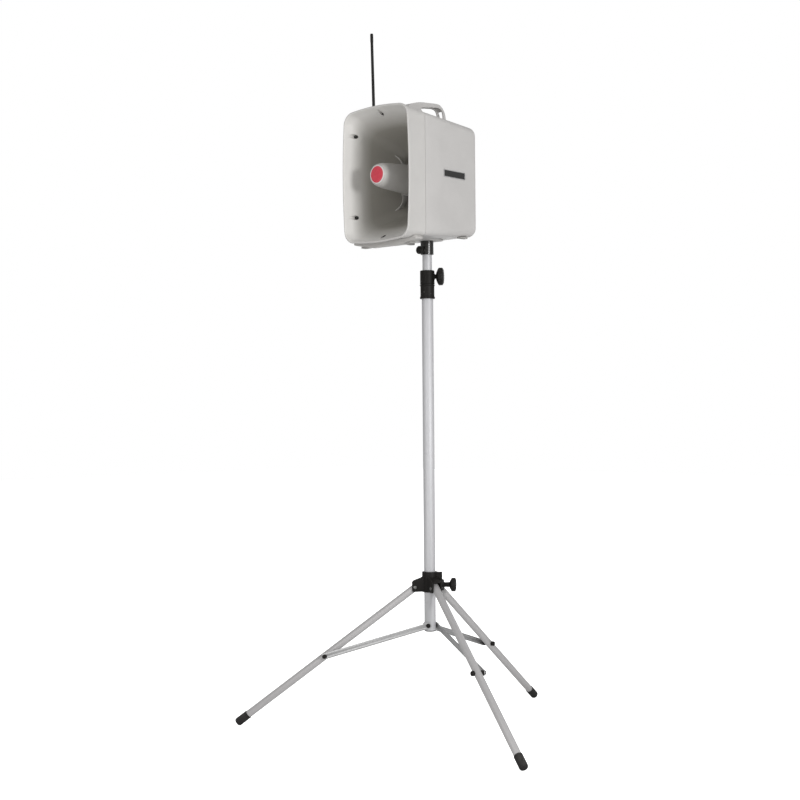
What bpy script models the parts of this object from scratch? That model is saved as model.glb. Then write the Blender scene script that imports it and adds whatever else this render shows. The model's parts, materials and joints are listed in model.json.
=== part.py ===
"""Portable horn loudspeaker on a folding tripod stand.

Metres, +Z up, horn mouth facing -Y, origin under the middle of the object on the floor.
Sizes below are in millimetres and are turned into metres when a mesh is made.
"""

import math

import bmesh
import bpy
from mathutils import Vector

MM = 0.001
GAP = 0.3

# Where the stand's upright axis meets the floor.
AXIS_X, AXIS_Y = -25.0, -105.0

# Upright
TUBE_R, TUBE_WALL = 15.0, 1.5
TUBE_BOTTOM, TUBE_TOP = 256.0, 1157.0
MAST_R, MAST_WALL = 12.5, 1.4
MAST_BOTTOM, MAST_TOP = 640.0, 1284.8
COLLAR_BOTTOM, COLLAR_TOP = 1122.0, 1196.0
CLAMP_HEIGHT = 1180.0

# Tripod
LEG_TURNS = {"a": 215.65, "b": 335.65, "c": 95.65}
KNOB_TURN = 35.65
HUB_PIVOT_R, HUB_PIVOT_Z = 37.0, 368.5
HUB_BOTTOM, HUB_TOP = 356.0, 409.0
FOOT_R, FOOT_Z = 514.0, 7.9
LEG_R, LEG_WALL = 9.75, 1.2
BRACE_PIVOT_R, BRACE_PIVOT_Z = 3.0, 269.6
BRACE_SHARE = 0.504
BRACE_WIDTH, BRACE_THICK = 15.6, 2.3
BRACE_LATERAL = 15.4
PIN_R, HOLE_R = 2.4, 2.7

LEG_LENGTH = math.hypot(FOOT_R - HUB_PIVOT_R, FOOT_Z - HUB_PIVOT_Z)
LEG_SPREAD = math.atan2(FOOT_R - HUB_PIVOT_R, HUB_PIVOT_Z - FOOT_Z)
JOINT_R = HUB_PIVOT_R + BRACE_SHARE * (FOOT_R - HUB_PIVOT_R)
JOINT_Z = HUB_PIVOT_Z + BRACE_SHARE * (FOOT_Z - HUB_PIVOT_Z)
BRACE_LENGTH = math.hypot(JOINT_R - BRACE_PIVOT_R, JOINT_Z - BRACE_PIVOT_Z)
BRACE_TILT = math.atan2(JOINT_R - BRACE_PIVOT_R, JOINT_Z - BRACE_PIVOT_Z)

# Loudspeaker: distances forward of the upright axis, and half sizes at each station
HEAD_Z = 1426.5
RIM_F, SEAM_F, REAR_F = 196.0, 130.0, -75.0
RIM_HALF = (116.3, 173.3)
SEAM_HALF, SEAM_MID = (111.0, 156.0), 1424.0
REAR_HALF, REAR_MID = (106.0, 143.0), 1424.5
SHELL = 3.2
SHELL_CORNER = 13.0


def clear_scene():
    for old in list(bpy.data.objects):
        bpy.data.objects.remove(old, do_unlink=True)


def paint(name, colour, roughness, metallic=0.0):
    material = bpy.data.materials.new(name)
    material.use_nodes = True
    shader = material.node_tree.nodes["Principled BSDF"]
    shader.inputs["Base Color"].default_value = (*colour, 1.0)
    shader.inputs["Roughness"].default_value = roughness
    shader.inputs["Metallic"].default_value = metallic
    material.diffuse_color = (*colour, 1.0)
    return material


def empty(name, location=(0, 0, 0), rotation=(0, 0, 0), parent=None):
    holder = bpy.data.objects.new(name, None)
    bpy.context.collection.objects.link(holder)
    holder.location = Vector(location) * MM
    holder.rotation_euler = rotation
    holder.parent = parent
    return holder


def add(name, bm, look, parent=None, location=(0, 0, 0), rotation=(0, 0, 0), helper=False):
    """Makes an object of the bmesh, drawn in millimetres about its own origin."""
    bmesh.ops.recalc_face_normals(bm, faces=bm.faces)
    bmesh.ops.scale(bm, vec=(MM, MM, MM), verts=bm.verts)
    mesh = bpy.data.meshes.new(name)
    bm.to_mesh(mesh)
    bm.free()
    mesh.shade_smooth()
    mesh.set_sharp_from_angle(angle=math.radians(35))
    obj = bpy.data.objects.new(name, mesh)
    bpy.context.collection.objects.link(obj)
    obj.location = Vector(location) * MM
    obj.rotation_euler = rotation
    obj.parent = parent
    if look:
        mesh.materials.append(look)
    if helper:
        obj.hide_render = True
        obj.display_type = "WIRE"
    return obj


def boolean(obj, other, operation):
    modifier = obj.modifiers.new(operation.lower(), "BOOLEAN")
    modifier.operation = operation
    modifier.solver = "EXACT"
    modifier.object = other
    other.hide_render = True
    other.display_type = "WIRE"


def cut(obj, *cutters):
    for cutter in cutters:
        boolean(obj, cutter, "DIFFERENCE")


def fuse(obj, *others):
    for other in others:
        boolean(obj, other, "UNION")


# Meshes, each a bmesh in millimetres


def rings_to_bmesh(rings, closed=False):
    """Skins a row of rings with equal point counts; closed joins the last ring to the first."""
    bm = bmesh.new()
    rows = [[bm.verts.new(point) for point in ring] for ring in rings]
    count = len(rows[0])
    pairs = list(zip(rows, rows[1:]))
    if closed:
        pairs.append((rows[-1], rows[0]))
    for lower, upper in pairs:
        for i in range(count):
            j = (i + 1) % count
            bm.faces.new((lower[i], lower[j], upper[j], upper[i]))
    if not closed:
        bm.faces.new(reversed(rows[0]))
        bm.faces.new(rows[-1])
    return bm


def turned(profile, sides=24, closed=False):
    """Turns (radius, height) points about Z. An open profile ends in flat caps."""
    rings = []
    for radius, height in profile:
        angles = [2 * math.pi * i / sides for i in range(sides)]
        rings.append([(radius * math.cos(a), radius * math.sin(a), height) for a in angles])
    return rings_to_bmesh(rings, closed)


def pipe(outer, inner, low, high, sides=24):
    return turned([(outer, low), (outer, high), (inner, high), (inner, low)], sides, True)


def rod(radius, low, high, sides=24):
    return turned([(radius, low), (radius, high)], sides)


def slab(size, middle=(0, 0, 0)):
    bm = bmesh.new()
    bmesh.ops.create_cube(bm, size=1.0)
    bmesh.ops.scale(bm, vec=size, verts=bm.verts)
    bmesh.ops.translate(bm, vec=middle, verts=bm.verts)
    return bm


def extruded(outline, low, high, axis="z"):
    """Extrudes a flat outline. For axis x its points are (y, z), for y (x, z), for z (x, y)."""
    spot = {
        "x": lambda u, v, w: (w, u, v),
        "y": lambda u, v, w: (u, w, v),
        "z": lambda u, v, w: (u, v, w),
    }[axis]
    return rings_to_bmesh([[spot(u, v, w) for u, v in outline] for w in (low, high)])


def arc(middle, radius, start, end, steps):
    """Points on an arc, angles in degrees."""
    points = []
    for i in range(steps + 1):
        angle = math.radians(start + (end - start) * i / steps)
        points.append((middle[0] + radius * math.cos(angle), middle[1] + radius * math.sin(angle)))
    return points


def round_box(half_w, half_h, corner, crown=0.0, steps=3):
    """A rounded rectangle about (0, 0); crown bows each side outward at its middle."""
    points = []
    corners = [(1, 1, 0), (-1, 1, 90), (-1, -1, 180), (1, -1, 270)]
    for sx, sz, start in corners:
        middle = (sx * (half_w - corner - crown), sz * (half_h - corner - crown))
        points += arc(middle, corner, start, start + 90, steps)
        for share in (0.25, 0.5, 0.75):
            bow = crown * (1 - (2 * share - 1) ** 2)
            if sx == sz:
                span = 2 * (half_w - corner - crown)
                points.append(
                    (sx * (half_w - corner - crown - span * share), sz * (half_h - crown + bow)),
                )
            else:
                span = 2 * (half_h - corner - crown)
                points.append(
                    (sx * (half_w - crown + bow), sz * (half_h - corner - crown - span * share)),
                )
    return points


def station(forward, half, corner, crown=0.0, middle=HEAD_Z):
    """A rounded section of the loudspeaker at a distance forward of the upright."""
    outline = round_box(half[0], half[1], corner, crown)
    return [(x, -forward, middle + z) for x, z in outline]


def box_side(forward, inset=0.0):
    """Half width, bottom and top of the rear box at a distance forward of the upright."""
    share = (SEAM_F - forward) / (SEAM_F - REAR_F)
    half = SEAM_HALF[0] + share * (REAR_HALF[0] - SEAM_HALF[0])
    tall = SEAM_HALF[1] + share * (REAR_HALF[1] - SEAM_HALF[1])
    middle = SEAM_MID + share * (REAR_MID - SEAM_MID)
    return half - inset, middle - tall + inset, middle + tall - inset


def box_station(forward, inset):
    half, low, high = box_side(forward, inset)
    return station(
        forward, (half, (high - low) / 2), max(SHELL_CORNER - inset, 3), 0.0, (high + low) / 2,
    )


clear_scene()

# Looks
SHELL_GREY = paint("shell_grey", (0.55, 0.54, 0.53), 0.5)
HORN_GREY = paint("horn_grey", (0.5, 0.49, 0.48), 0.5)
BLACK = paint("black_plastic", (0.02, 0.02, 0.022), 0.45)
RUBBER = paint("black_rubber", (0.015, 0.015, 0.015), 0.8)
ALLOY = paint("satin_aluminium", (0.72, 0.72, 0.73), 0.35, 1.0)
STEEL = paint("steel", (0.6, 0.6, 0.6), 0.35, 1.0)
RED = paint("red_badge", (0.55, 0.02, 0.02), 0.3)
BOARD = paint("board_green", (0.02, 0.15, 0.05), 0.5)
FERRITE = paint("ferrite", (0.05, 0.05, 0.055), 0.7)

stand = empty("stand_axis", (AXIS_X, AXIS_Y, 0))

# Upright: lower tube, its plug, the collar and the strut bolts

lower_tube = add("lower_tube", pipe(TUBE_R, TUBE_R - TUBE_WALL, TUBE_BOTTOM, TUBE_TOP), ALLOY, stand)
plug_profile = [(13.4, 253.4), (14.8, 254.4), (14.8, 255.7), (13.2, 255.7), (13.2, 288.0)]
tube_plug = add("tube_plug", turned(plug_profile, 24), BLACK, stand)

for name, turn in LEG_TURNS.items():
    angle = math.radians(turn)
    spot = (BRACE_PIVOT_R * math.cos(angle), BRACE_PIVOT_R * math.sin(angle), BRACE_PIVOT_Z)
    across = (-math.pi / 2, 0, angle)
    hole = add(f"hole_{name}", rod(HOLE_R, 1.5, 30, 12), None, stand, spot, across, helper=True)
    cut(lower_tube, hole)
    cut(tube_plug, hole)
    head = BRACE_LATERAL + BRACE_THICK + GAP
    bolt = turned(
        [
            (PIN_R, 2.2), (PIN_R, head), (5.8, head), (5.8, head + 2.2), (4.2, head + 4.0),
            (1.6, head + 4.7),
        ],
        12,
    )
    add(f"bracket_bolt_{name}", bolt, BLACK, stand, spot, across)

collar_profile = [
    (19.6, 1122.0), (19.6, 1127.0), (18.3, 1128.5), (18.3, 1155.5), (19.8, 1156.5),
    (19.8, 1159.5), (18.9, 1160.5), (18.9, 1193.5), (17.6, 1196.0),
    (MAST_R + GAP, 1196.0), (MAST_R + GAP, TUBE_TOP + GAP),
    (TUBE_R + GAP, TUBE_TOP + GAP), (TUBE_R + GAP, 1122.0),
]
top_collar = add("top_collar", turned(collar_profile, 24, True), BLACK, stand)
knob_angle = math.radians(KNOB_TURN)
radial = (0, math.pi / 2, knob_angle)
collar_boss = add(
    "collar_boss", rod(8.0, 14.5, 20.3, 20), None, stand, (0, 0, CLAMP_HEIGHT), radial,
    helper=True,
)
collar_hole = add(
    "collar_hole", rod(3.8, 5, 30, 12), None, stand, (0, 0, CLAMP_HEIGHT), radial, helper=True,
)
fuse(top_collar, collar_boss)
cut(top_collar, collar_hole)


def knob_mesh(start, neck, head_start, head_end, radius, tip):
    """A clamp knob on a screw, turned about Z, with its head's flat inner side cut back as a cone."""
    profile = [
        (3.3, tip), (3.3, start), (neck, start), (neck + 0.6, head_start),
        (radius * 0.8, head_start + (head_end - head_start) * 0.35),
        (radius, head_start + (head_end - head_start) * 0.5),
        (radius, head_end - 3.0), (radius * 0.82, head_end - 1.0), (radius * 0.4, head_end),
    ]
    return turned(profile, 20)


collar_knob = add(
    "collar_knob", knob_mesh(20.7, 5.2, 21.6, 44.2, 23.0, 13.0), BLACK, stand,
    (0, 0, CLAMP_HEIGHT), radial,
)

# Telescoping mast

upper_tube = add("upper_tube", pipe(MAST_R, MAST_R - MAST_WALL, MAST_BOTTOM, MAST_TOP), ALLOY, stand)
bush_profile = [(13.25, 626.0), (13.25, 639.7), (10.8, 639.7), (10.8, 664.0)]
mast_bush = add("mast_bush", turned(bush_profile, 24), BLACK, stand)

# Sliding hub

hub = add("hub", rod(20.2, HUB_BOTTOM, HUB_TOP, 24), BLACK, stand)
EAR_IN, EAR_OUT = LEG_R + 0.45, LEG_R + 4.2
ear_outline = [(16.8, 357.5), (39.5, 356.5)] + arc((40.5, 362.0), 5.5, -75, 0, 3)
ear_outline += arc((42.5, 382.0), 3.5, 0, 75, 3) + [(28.0, 391.5), (16.8, 395.5)]
web_outline = [
    (16.8, 391.0), (29.0, 387.5), (41.5, 383.3), (44.8, 382.0), (45.0, 383.5), (43.0, 384.8),
    (28.0, 390.6), (16.8, 394.5),
]
for name, turn in LEG_TURNS.items():
    angle = math.radians(turn)
    around = (0, 0, angle)
    for side in (-1, 1):
        low, high = sorted((side * EAR_IN, side * EAR_OUT))
        ear = extruded(ear_outline, low, high, "y")
        ear = add(f"hub_ear_{name}{'rl'[side > 0]}", ear, None, stand, rotation=around, helper=True)
        fuse(hub, ear)
    web = add(
        f"hub_web_{name}", extruded(web_outline, -EAR_IN - 1, EAR_IN + 1, "y"), None, stand,
        rotation=around, helper=True,
    )
    fuse(hub, web)
    pivot = (HUB_PIVOT_R * math.cos(angle), HUB_PIVOT_R * math.sin(angle), HUB_PIVOT_Z)
    across = (-math.pi / 2, 0, angle)
    face = EAR_OUT + GAP
    pin_profile = [
        (2.5, -face - 2.4), (4.6, -face - 1.6), (4.6, -face), (PIN_R, -face), (PIN_R, face),
        (4.6, face), (4.6, face + 1.6), (2.5, face + 2.4),
    ]
    add(f"hub_pin_{name}", turned(pin_profile, 12), STEEL, stand, pivot, across)
hub_boss = extruded(
    [(5.0, -8.5), (29.5, -8.5), (32.4, -5.5), (32.4, 5.5), (29.5, 8.5), (5.0, 8.5)], 362.0,
    HUB_TOP - 1.5,
)
hub_boss = add("hub_boss", hub_boss, None, stand, rotation=(0, 0, knob_angle), helper=True)
hub_neck = add("hub_neck", rod(7.0, 28, 39.5, 20), None, stand, (0, 0, 375.0), radial, helper=True)
hub_screw_hole = add(
    "hub_screw_hole", rod(3.8, 5, 45, 12), None, stand, (0, 0, 375.0), radial, helper=True,
)
fuse(hub, hub_boss, hub_neck)
hub_bore = add("hub_bore", rod(TUBE_R + GAP, HUB_BOTTOM - 5, HUB_TOP + 5, 24), None, stand, helper=True)
cut(hub, hub_bore, hub_screw_hole)
for name, turn in LEG_TURNS.items():
    angle = math.radians(turn)
    pivot = (HUB_PIVOT_R * math.cos(angle), HUB_PIVOT_R * math.sin(angle), HUB_PIVOT_Z)
    cut(
        hub,
        add(
            f"hub_eye_{name}", rod(HOLE_R, -25, 25, 12), None, stand, pivot,
            (-math.pi / 2, 0, angle), True,
        ),
    )
hub_knob = add(
    "hub_knob", knob_mesh(39.9, 6.2, 50.7, 69.8, 18.0, 15.5), BLACK, stand, (0, 0, 375.0),
    radial,
)

# Legs with their end plugs, rubber feet and strut rivets, and the struts

floor_cut = add("floor_cut", slab((1400, 1400, 60), (0, 0, -30)), None, stand, helper=True)
for name, turn in LEG_TURNS.items():
    angle = math.radians(turn)
    spot = (HUB_PIVOT_R * math.cos(angle), HUB_PIVOT_R * math.sin(angle), HUB_PIVOT_Z)
    leg = empty(f"leg_{name}_pivot", spot, (0, -LEG_SPREAD, angle), stand)
    across = (-math.pi / 2, 0, 0)
    tube = add(f"leg_tube_{name}", pipe(LEG_R, LEG_R - LEG_WALL, -LEG_LENGTH + 12, 9.0, 20), ALLOY, leg)
    plug = add(
        f"leg_plug_{name}",
        turned([(8.2, -14), (8.2, 9.3), (9.75, 9.3), (9.2, 11.5), (6.5, 13.2)], 20), BLACK,
        leg,
    )
    eye = add(f"leg_eye_{name}", rod(HOLE_R, -20, 20, 12), None, leg, rotation=across, helper=True)
    cut(tube, eye)
    cut(plug, eye)
    end = -LEG_LENGTH
    cap_profile = [
        (LEG_R + GAP, end + 36), (11.1, end + 36), (11.1, end + 1.5), (9.3, end - 2.0),
        (5.0, end - 3.3), (1.0, end - 3.3),
        (1.0, end + 11.5), (LEG_R + GAP, end + 11.5),
    ]
    cap = add(f"foot_{name}", turned(cap_profile, 20, True), RUBBER, leg)
    cut(cap, floor_cut)
    along = -BRACE_SHARE * LEG_LENGTH
    rivet = turned([(6.4, -4.0), (6.4, -15.5), (4.6, -17.6), (1.8, -18.4)][::-1], 12)
    rivet = add(f"leg_rivet_{name}", rivet, BLACK, leg, (0, 0, along), across)
    saddle = add(f"saddle_{name}", rod(LEG_R + GAP, along - 20, along + 20, 24), None, leg, helper=True)
    cut(rivet, saddle)
    spot = (BRACE_PIVOT_R * math.cos(angle), BRACE_PIVOT_R * math.sin(angle), BRACE_PIVOT_Z)
    brace = empty(f"strut_{name}_pivot", spot, (0, BRACE_TILT, angle), stand)
    half = BRACE_WIDTH / 2
    outline = arc((0, BRACE_LENGTH), half, 0, 180, 8) + arc((0, 0), half, 180, 360, 8)
    strut = extruded(outline, BRACE_LATERAL, BRACE_LATERAL + BRACE_THICK, "y")
    strut = add(f"strut_{name}", strut, STEEL, brace)
    inner_eye = add(
        f"strut_eye_{name}", rod(HOLE_R, 5, 25, 12), None, brace, rotation=across, helper=True,
    )
    outer_eye = add(
        f"strut_far_eye_{name}", rod(HOLE_R, 5, 25, 12), None, brace, (0, 0, BRACE_LENGTH),
        across, helper=True,
    )
    cut(strut, inner_eye, outer_eye)
    face = BRACE_LATERAL + BRACE_THICK + GAP
    pin_profile = [
        (6.4, LEG_R + 0.4), (6.4, BRACE_LATERAL - GAP), (PIN_R, BRACE_LATERAL - GAP), (PIN_R, face),
        (5.8, face), (5.8, face + 2.2), (4.2, face + 4.0), (1.6, face + 4.7),
    ]
    add(f"strut_rivet_{name}", turned(pin_profile, 12), BLACK, brace, (0, 0, BRACE_LENGTH), across)

# Loudspeaker shell: horn bell, gasket, rear box and rear panel

bell_rings = [
    station(SEAM_F, SEAM_HALF, SHELL_CORNER, 0, SEAM_MID),
    station(SEAM_F + 22, (112.0, 161.0), 22, 1.0, 1425.0),
    station(RIM_F - 14, (115.0, 170.8), 31, 4.0),
    station(RIM_F - 3, RIM_HALF, 34, 4.5),
    station(RIM_F, (115.2, 172.2), 33, 4.5),
    station(RIM_F, (112.6, 169.6), 31, 4.5),
    station(RIM_F - 3, (111.2, 168.0), 30, 4.5),
    station(RIM_F - 18, (106.0, 161.0), 30, 4.5),
    station(RIM_F - 38, (99.0, 150.0), 32, 5.0),
    station(RIM_F - 70, (86.0, 129.0), 30, 4.0),
    station(60, (66.0, 100.0), 28, 3.0),
    station(24, (54.0, 80.0), 26, 2.0),
    station(14, (54.0, 80.0), 26, 2.0),
    station(14, (60.0, 86.0), 28, 2.0),
    station(60, (70.5, 104.0), 29, 3.0),
    station(RIM_F - 70, (90.0, 133.0), 31, 4.0),
    station(RIM_F - 50, (97.5, 144.5), 32, 4.0),
    station(RIM_F - 50, (106.5, 153.5), 22, 1.5, 1425.0),
    station(SEAM_F, (107.0, 152.0), 12, 0, SEAM_MID),
]
horn_bell = add("horn_bell", rings_to_bmesh(bell_rings, True), HORN_GREY, stand)
SCREWS = [(0, 162), (0, -160), (99.5, 112), (99.5, -98), (-99.5, 112), (-99.5, -98)]
SCREW_SEAT = RIM_F - 38
facing = (math.pi / 2, 0, 0)
for index, (x, z) in enumerate(SCREWS):
    seat = (x, 0, HEAD_Z + z)
    pocket = add(
        f"screw_pocket_{index}", rod(5.5, SCREW_SEAT, RIM_F - 1, 12), None, stand, seat,
        facing, helper=True,
    )
    cut(horn_bell, pocket)

gasket_rings = [
    station(SEAM_F - GAP, (109.5, 154.5), 12, 0, SEAM_MID),
    station(SEAM_F - 2.0, (109.5, 154.5), 12, 0, SEAM_MID),
    station(SEAM_F - 2.0, (106.0, 151.0), 10, 0, SEAM_MID),
    station(SEAM_F - GAP, (106.0, 151.0), 10, 0, SEAM_MID),
]
add("seam_gasket", rings_to_bmesh(gasket_rings, True), RUBBER, stand)

BOX_FRONT = SEAM_F - 2.3
box_rings = [
    box_station(BOX_FRONT, 0), box_station(REAR_F + 2, 0), box_station(REAR_F, 1.6),
    box_station(REAR_F, SHELL), box_station(BOX_FRONT, SHELL),
]
rear_box = add("rear_box", rings_to_bmesh(box_rings, True), SHELL_GREY, stand)
floor_z = box_side(0)[1]
plinth = extruded(round_box(32, 32, 8), floor_z - 3.5, floor_z + 1.5, "z")
plinth = add("socket_plinth", plinth, None, stand, helper=True)
socket_hole = add("socket_hole", rod(17.3, 1250, 1300, 24), None, stand, helper=True)
fuse(rear_box, plinth)
cut(rear_box, socket_hole)
panel_half, panel_low, panel_high = box_side(REAR_F, SHELL + 0.6)
panel_mid, panel_tall = (panel_low + panel_high) / 2, (panel_high - panel_low) / 2
panel_rings = [
    station(REAR_F + 2.5, (panel_half, panel_tall), 9, 0, panel_mid),
    station(REAR_F + 5.5, (panel_half, panel_tall), 9, 0, panel_mid),
]
rear_panel = add("rear_panel", rings_to_bmesh(panel_rings), BLACK, stand)
PANEL_F = REAR_F + 2.5

# Pole socket and its knob

socket_profile = [
    (MAST_R + GAP, 1237.0), (17.0, 1237.0), (17.0, 1285.6), (27.0, 1285.6), (27.0, 1289.0),
    (17.0, 1289.0), (17.0, 1296.0),
    (1.0, 1296.0), (1.0, MAST_TOP + 3), (MAST_R + GAP, MAST_TOP + 3),
]
pole_socket = add("pole_socket", turned(socket_profile, 24, True), BLACK, stand)
SOCKET_KNOB_Z = 1247.8
socket_boss = add(
    "socket_boss", rod(7.0, 14, 20.5, 20), None, stand, (0, 0, SOCKET_KNOB_Z), facing,
    helper=True,
)
socket_screw_hole = add(
    "socket_screw_hole", rod(3.8, 4, 30, 12), None, stand, (0, 0, SOCKET_KNOB_Z), facing,
    helper=True,
)
fuse(pole_socket, socket_boss)
cut(pole_socket, socket_screw_hole)
add(
    "socket_knob", knob_mesh(20.9, 4.4, 23.0, 34.0, 10.6, 13.0), BLACK, stand,
    (0, 0, SOCKET_KNOB_Z), facing,
)

# Carry handle, feet, plate

def top_z(forward):
    return box_side(forward)[2] + GAP


def at_y(points):
    """Turns (forward, height) points into (y, height)."""
    return [(-forward, height) for forward, height in points]


handle_outline = [
    (96, top_z(96)), (92, 1596), (84, 1611), (72, 1622), (48, 1629.3), (28, 1632.5),
    (-2, 1635), (-34, 1637), (-45, 1633.8), (-55, 1627), (-62, 1617), (-66, 1604),
    (-67.5, 1590), (-68, top_z(-68)),
]
opening = [
    (-57, top_z(-57)), (-57, 1592), (-56.2, 1608), (-53.5, 1618), (-47.5, 1624.6),
    (-38, 1626.8), (-26, 1626.5), (8, 1622.2), (24, 1619.2), (33, 1615.6), (27, 1608.5),
    (20, 1602.5), (16, 1592), (14.5, top_z(14.5)),
]
handle = add("carry_handle", extruded(at_y(handle_outline + opening), -12, 12, "x"), SHELL_GREY, stand)
groove_outline = [
    (110, 1550), (110, 1590), (84, 1602), (60, 1620), (28, 1627.5), (-2, 1630.5), (-34, 1632),
    (-44, 1628.8), (-54, 1621), (-90, 1621), (-90, 1550),
]
groove = add("handle_groove", extruded(at_y(groove_outline), -8, 8, "x"), None, stand, helper=True)
cut(handle, groove)

pedestal_outline = [
    (-108, 1262), (-100, 1256), (-58, 1248), (58, 1248), (100, 1256), (108, 1262), (96, 1273),
    (-96, 1273),
]
pedestal = add("pedestal", extruded(pedestal_outline, -164, -138, "y"), HORN_GREY, stand)
SEAT_GAP = 1.0
block_rings = (
    station(SEAM_F - 4, (SEAM_HALF[0] + SEAT_GAP, SEAM_HALF[1] + SEAT_GAP), SHELL_CORNER, 0, SEAM_MID),
    station(SEAM_F, (SEAM_HALF[0] + SEAT_GAP, SEAM_HALF[1] + SEAT_GAP), SHELL_CORNER, 0, SEAM_MID),
    station(SEAM_F + 22, (112.0 + SEAT_GAP, 161.0 + SEAT_GAP), 22, 1.0, 1425.0),
    station(RIM_F - 14, (115.0 + SEAT_GAP, 170.8 + SEAT_GAP), 31, 4.0),
    station(RIM_F, (RIM_HALF[0] + SEAT_GAP, RIM_HALF[1] + SEAT_GAP), 34, 4.5),
)
bell_block = add("bell_block", rings_to_bmesh(block_rings), None, stand, helper=True)
cut(pedestal, bell_block)

for side, x in (("right", 74), ("left", -74)):
    pad = extruded(round_box(13, 9, 4, 0, 3), 1246.2, 1249.7, "z")
    pad = add(f"front_pad_{side}", pad, RUBBER, stand, (x, -151, 0))
    pad_seat = extruded(
        [(u, w - GAP) for u, w in pedestal_outline[:6]] + [(96, 1290), (-96, 1290)], -170,
        -130, "y",
    )
    cut(pad, add(f"pad_seat_{side}", pad_seat, None, stand, helper=True))
    roof = [box_side(forward)[1] - GAP for forward in (-19, -49)]
    outline = at_y([(-49, 1274.5), (-19, 1274.5), (-19, roof[0]), (-49, roof[1])])
    low, high = sorted((math.copysign(84, x), math.copysign(100, x)))
    add(f"rear_pad_{side}", extruded(outline, low, high, "x"), RUBBER, stand)

plate_points = [(58, GAP), (-28, GAP), (-28, GAP + 1.3), (58, GAP + 1.3)]
plate_outline = [(box_side(forward)[0] + out, -forward) for forward, out in plate_points]
add("side_plate", extruded(plate_outline, 1424.0, 1442.5, "z"), STEEL, stand)

# Horn parts: nose, badge, inner tube with its fins, driver

nose_outer = [
    (38.6, 62), (37.6, 80), (36.4, 100), (35.2, 120), (34.0, 140), (32.6, 158), (31.0, 172),
    (28.9, 181), (26.6, 187), (25.0, 188.6),
]
nose_inner = [
    (24.0, 188.6), (24.0, 186.8), (1.0, 186.8), (1.0, 180.0), (25.0, 178.0), (29.0, 168.0),
    (31.6, 140.0), (34.0, 100.0), (36.0, 62.0),
]
reflex_nose = add(
    "reflex_nose", turned(nose_outer + nose_inner, 24, True), HORN_GREY, stand, (0, 0, HEAD_Z),
    facing,
)
add(
    "nose_badge", turned([(23.6, 187.1), (23.6, 189.0), (18.0, 190.0), (8.0, 190.8)], 24), RED,
    stand, (0, 0, HEAD_Z), facing,
)
tube_profile = [
    (14.0, 10.0), (15.5, 60.0), (19.0, 110.0), (24.0, 152.0), (22.5, 152.0), (17.4, 110.0),
    (13.8, 60.0), (12.2, 10.0),
]
inner_tube = add("inner_tube", turned(tube_profile, 24, True), HORN_GREY, stand, (0, 0, HEAD_Z), facing)
nose_spider = add("nose_spider", pipe(40.9, 39.0, 60.5, 70.5), HORN_GREY, stand, (0, 0, HEAD_Z), facing)
fin_outline = [
    (39.9, 60.8), (39.9, 70.2), (44, 66.5), (52, 58), (62, 51), (74, 47.5), (86, 50), (97, 57.5),
    (112, 62), (112, 44), (80, 34), (60, 34), (45, 45),
]
FIN_TURN = 50
for index, turn in enumerate((FIN_TURN, 180 - FIN_TURN, 180 + FIN_TURN, -FIN_TURN)):
    fin = add(
        f"spider_arm_{index}", extruded(fin_outline, -1.0, 1.0, "y"), None, stand,
        (0, 0, HEAD_Z), (math.pi / 2, math.radians(turn), 0), helper=True,
    )
    fuse(nose_spider, fin)
throat_rings = (
    station(RIM_F - 38, (98.4, 149.4), 32, 5.0),
    station(RIM_F - 70, (85.4, 128.4), 30, 4.0),
    station(60, (65.4, 99.4), 28, 3.0),
    station(24, (53.4, 79.4), 26, 2.0),
    station(14, (53.4, 79.4), 26, 2.0),
)
throat = add("throat_room", rings_to_bmesh(throat_rings), None, stand, helper=True)
boolean(nose_spider, throat, "INTERSECT")
add(
    "driver_body",
    turned([(12.0, 9.5), (52.0, 9.5), (52.0, 4.0), (42.0, -2.0), (42.0, -6.0), (12.0, -6.0)], 24, True),
    ALLOY, stand, (0, 0, HEAD_Z), facing,
)
add(
    "diaphragm",
    turned(
        [(4.0, -6.4), (20.0, -6.4), (38.0, -7.4), (38.0, -8.2), (20.0, -7.6), (4.0, -7.6)][::-1],
        24, False,
    ),
    ALLOY, stand, (0, 0, HEAD_Z), facing,
)
add(
    "driver_magnet",
    turned([(45.0, -8.8), (45.0, -34.0), (36.0, -34.0), (30.0, -40.0)][::-1], 24), FERRITE,
    stand, (0, 0, HEAD_Z), facing,
)

# Antenna: a forked base on the box top and a whip on a cross pin

WHIP_X, WHIP_F, WHIP_PIVOT_Z, WHIP_TOP = -94.0, 99.0, 1593.0, 1818.0
WHIP_LEAN = (0.0135, -0.0155, 0)
base_z = top_z(WHIP_F + 9)
seat = (WHIP_X, -WHIP_F, 0)
pivot = (WHIP_X, -WHIP_F, WHIP_PIVOT_Z)
antenna_base = add("antenna_base", rod(8.5, base_z, WHIP_PIVOT_Z - 6.0, 20), BLACK, stand, seat)
for index, side in enumerate((-1, 1)):
    low, high = sorted((side * 3.2, side * 6.0))
    prong = extruded(
        arc((0, WHIP_PIVOT_Z), 4.6, 0, 180, 6) + [(-4.6, 1584), (4.6, 1584)], low, high, "x",
    )
    fuse(antenna_base, add(f"prong_{index}", prong, None, stand, seat, (0, 0, 0), True))
fuse(antenna_base, add("fork_pin", rod(1.3, -5, 5, 12), None, stand, pivot, (0, math.pi / 2, 0), True))
whip_profile = [
    (2.4, 2.0), (2.75, 8.0), (2.55, 200.0), (3.1, 203.0), (3.1, WHIP_TOP - WHIP_PIVOT_Z - 2),
    (1.6, WHIP_TOP - WHIP_PIVOT_Z),
]
antenna_whip = add("antenna_whip", turned(whip_profile, 12), BLACK, stand, pivot, WHIP_LEAN)
fuse(
    antenna_whip,
    add("whip_eye", rod(4.4, -2.8, 2.8, 12), None, stand, pivot, (0, math.pi / 2, 0), True),
)
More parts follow.
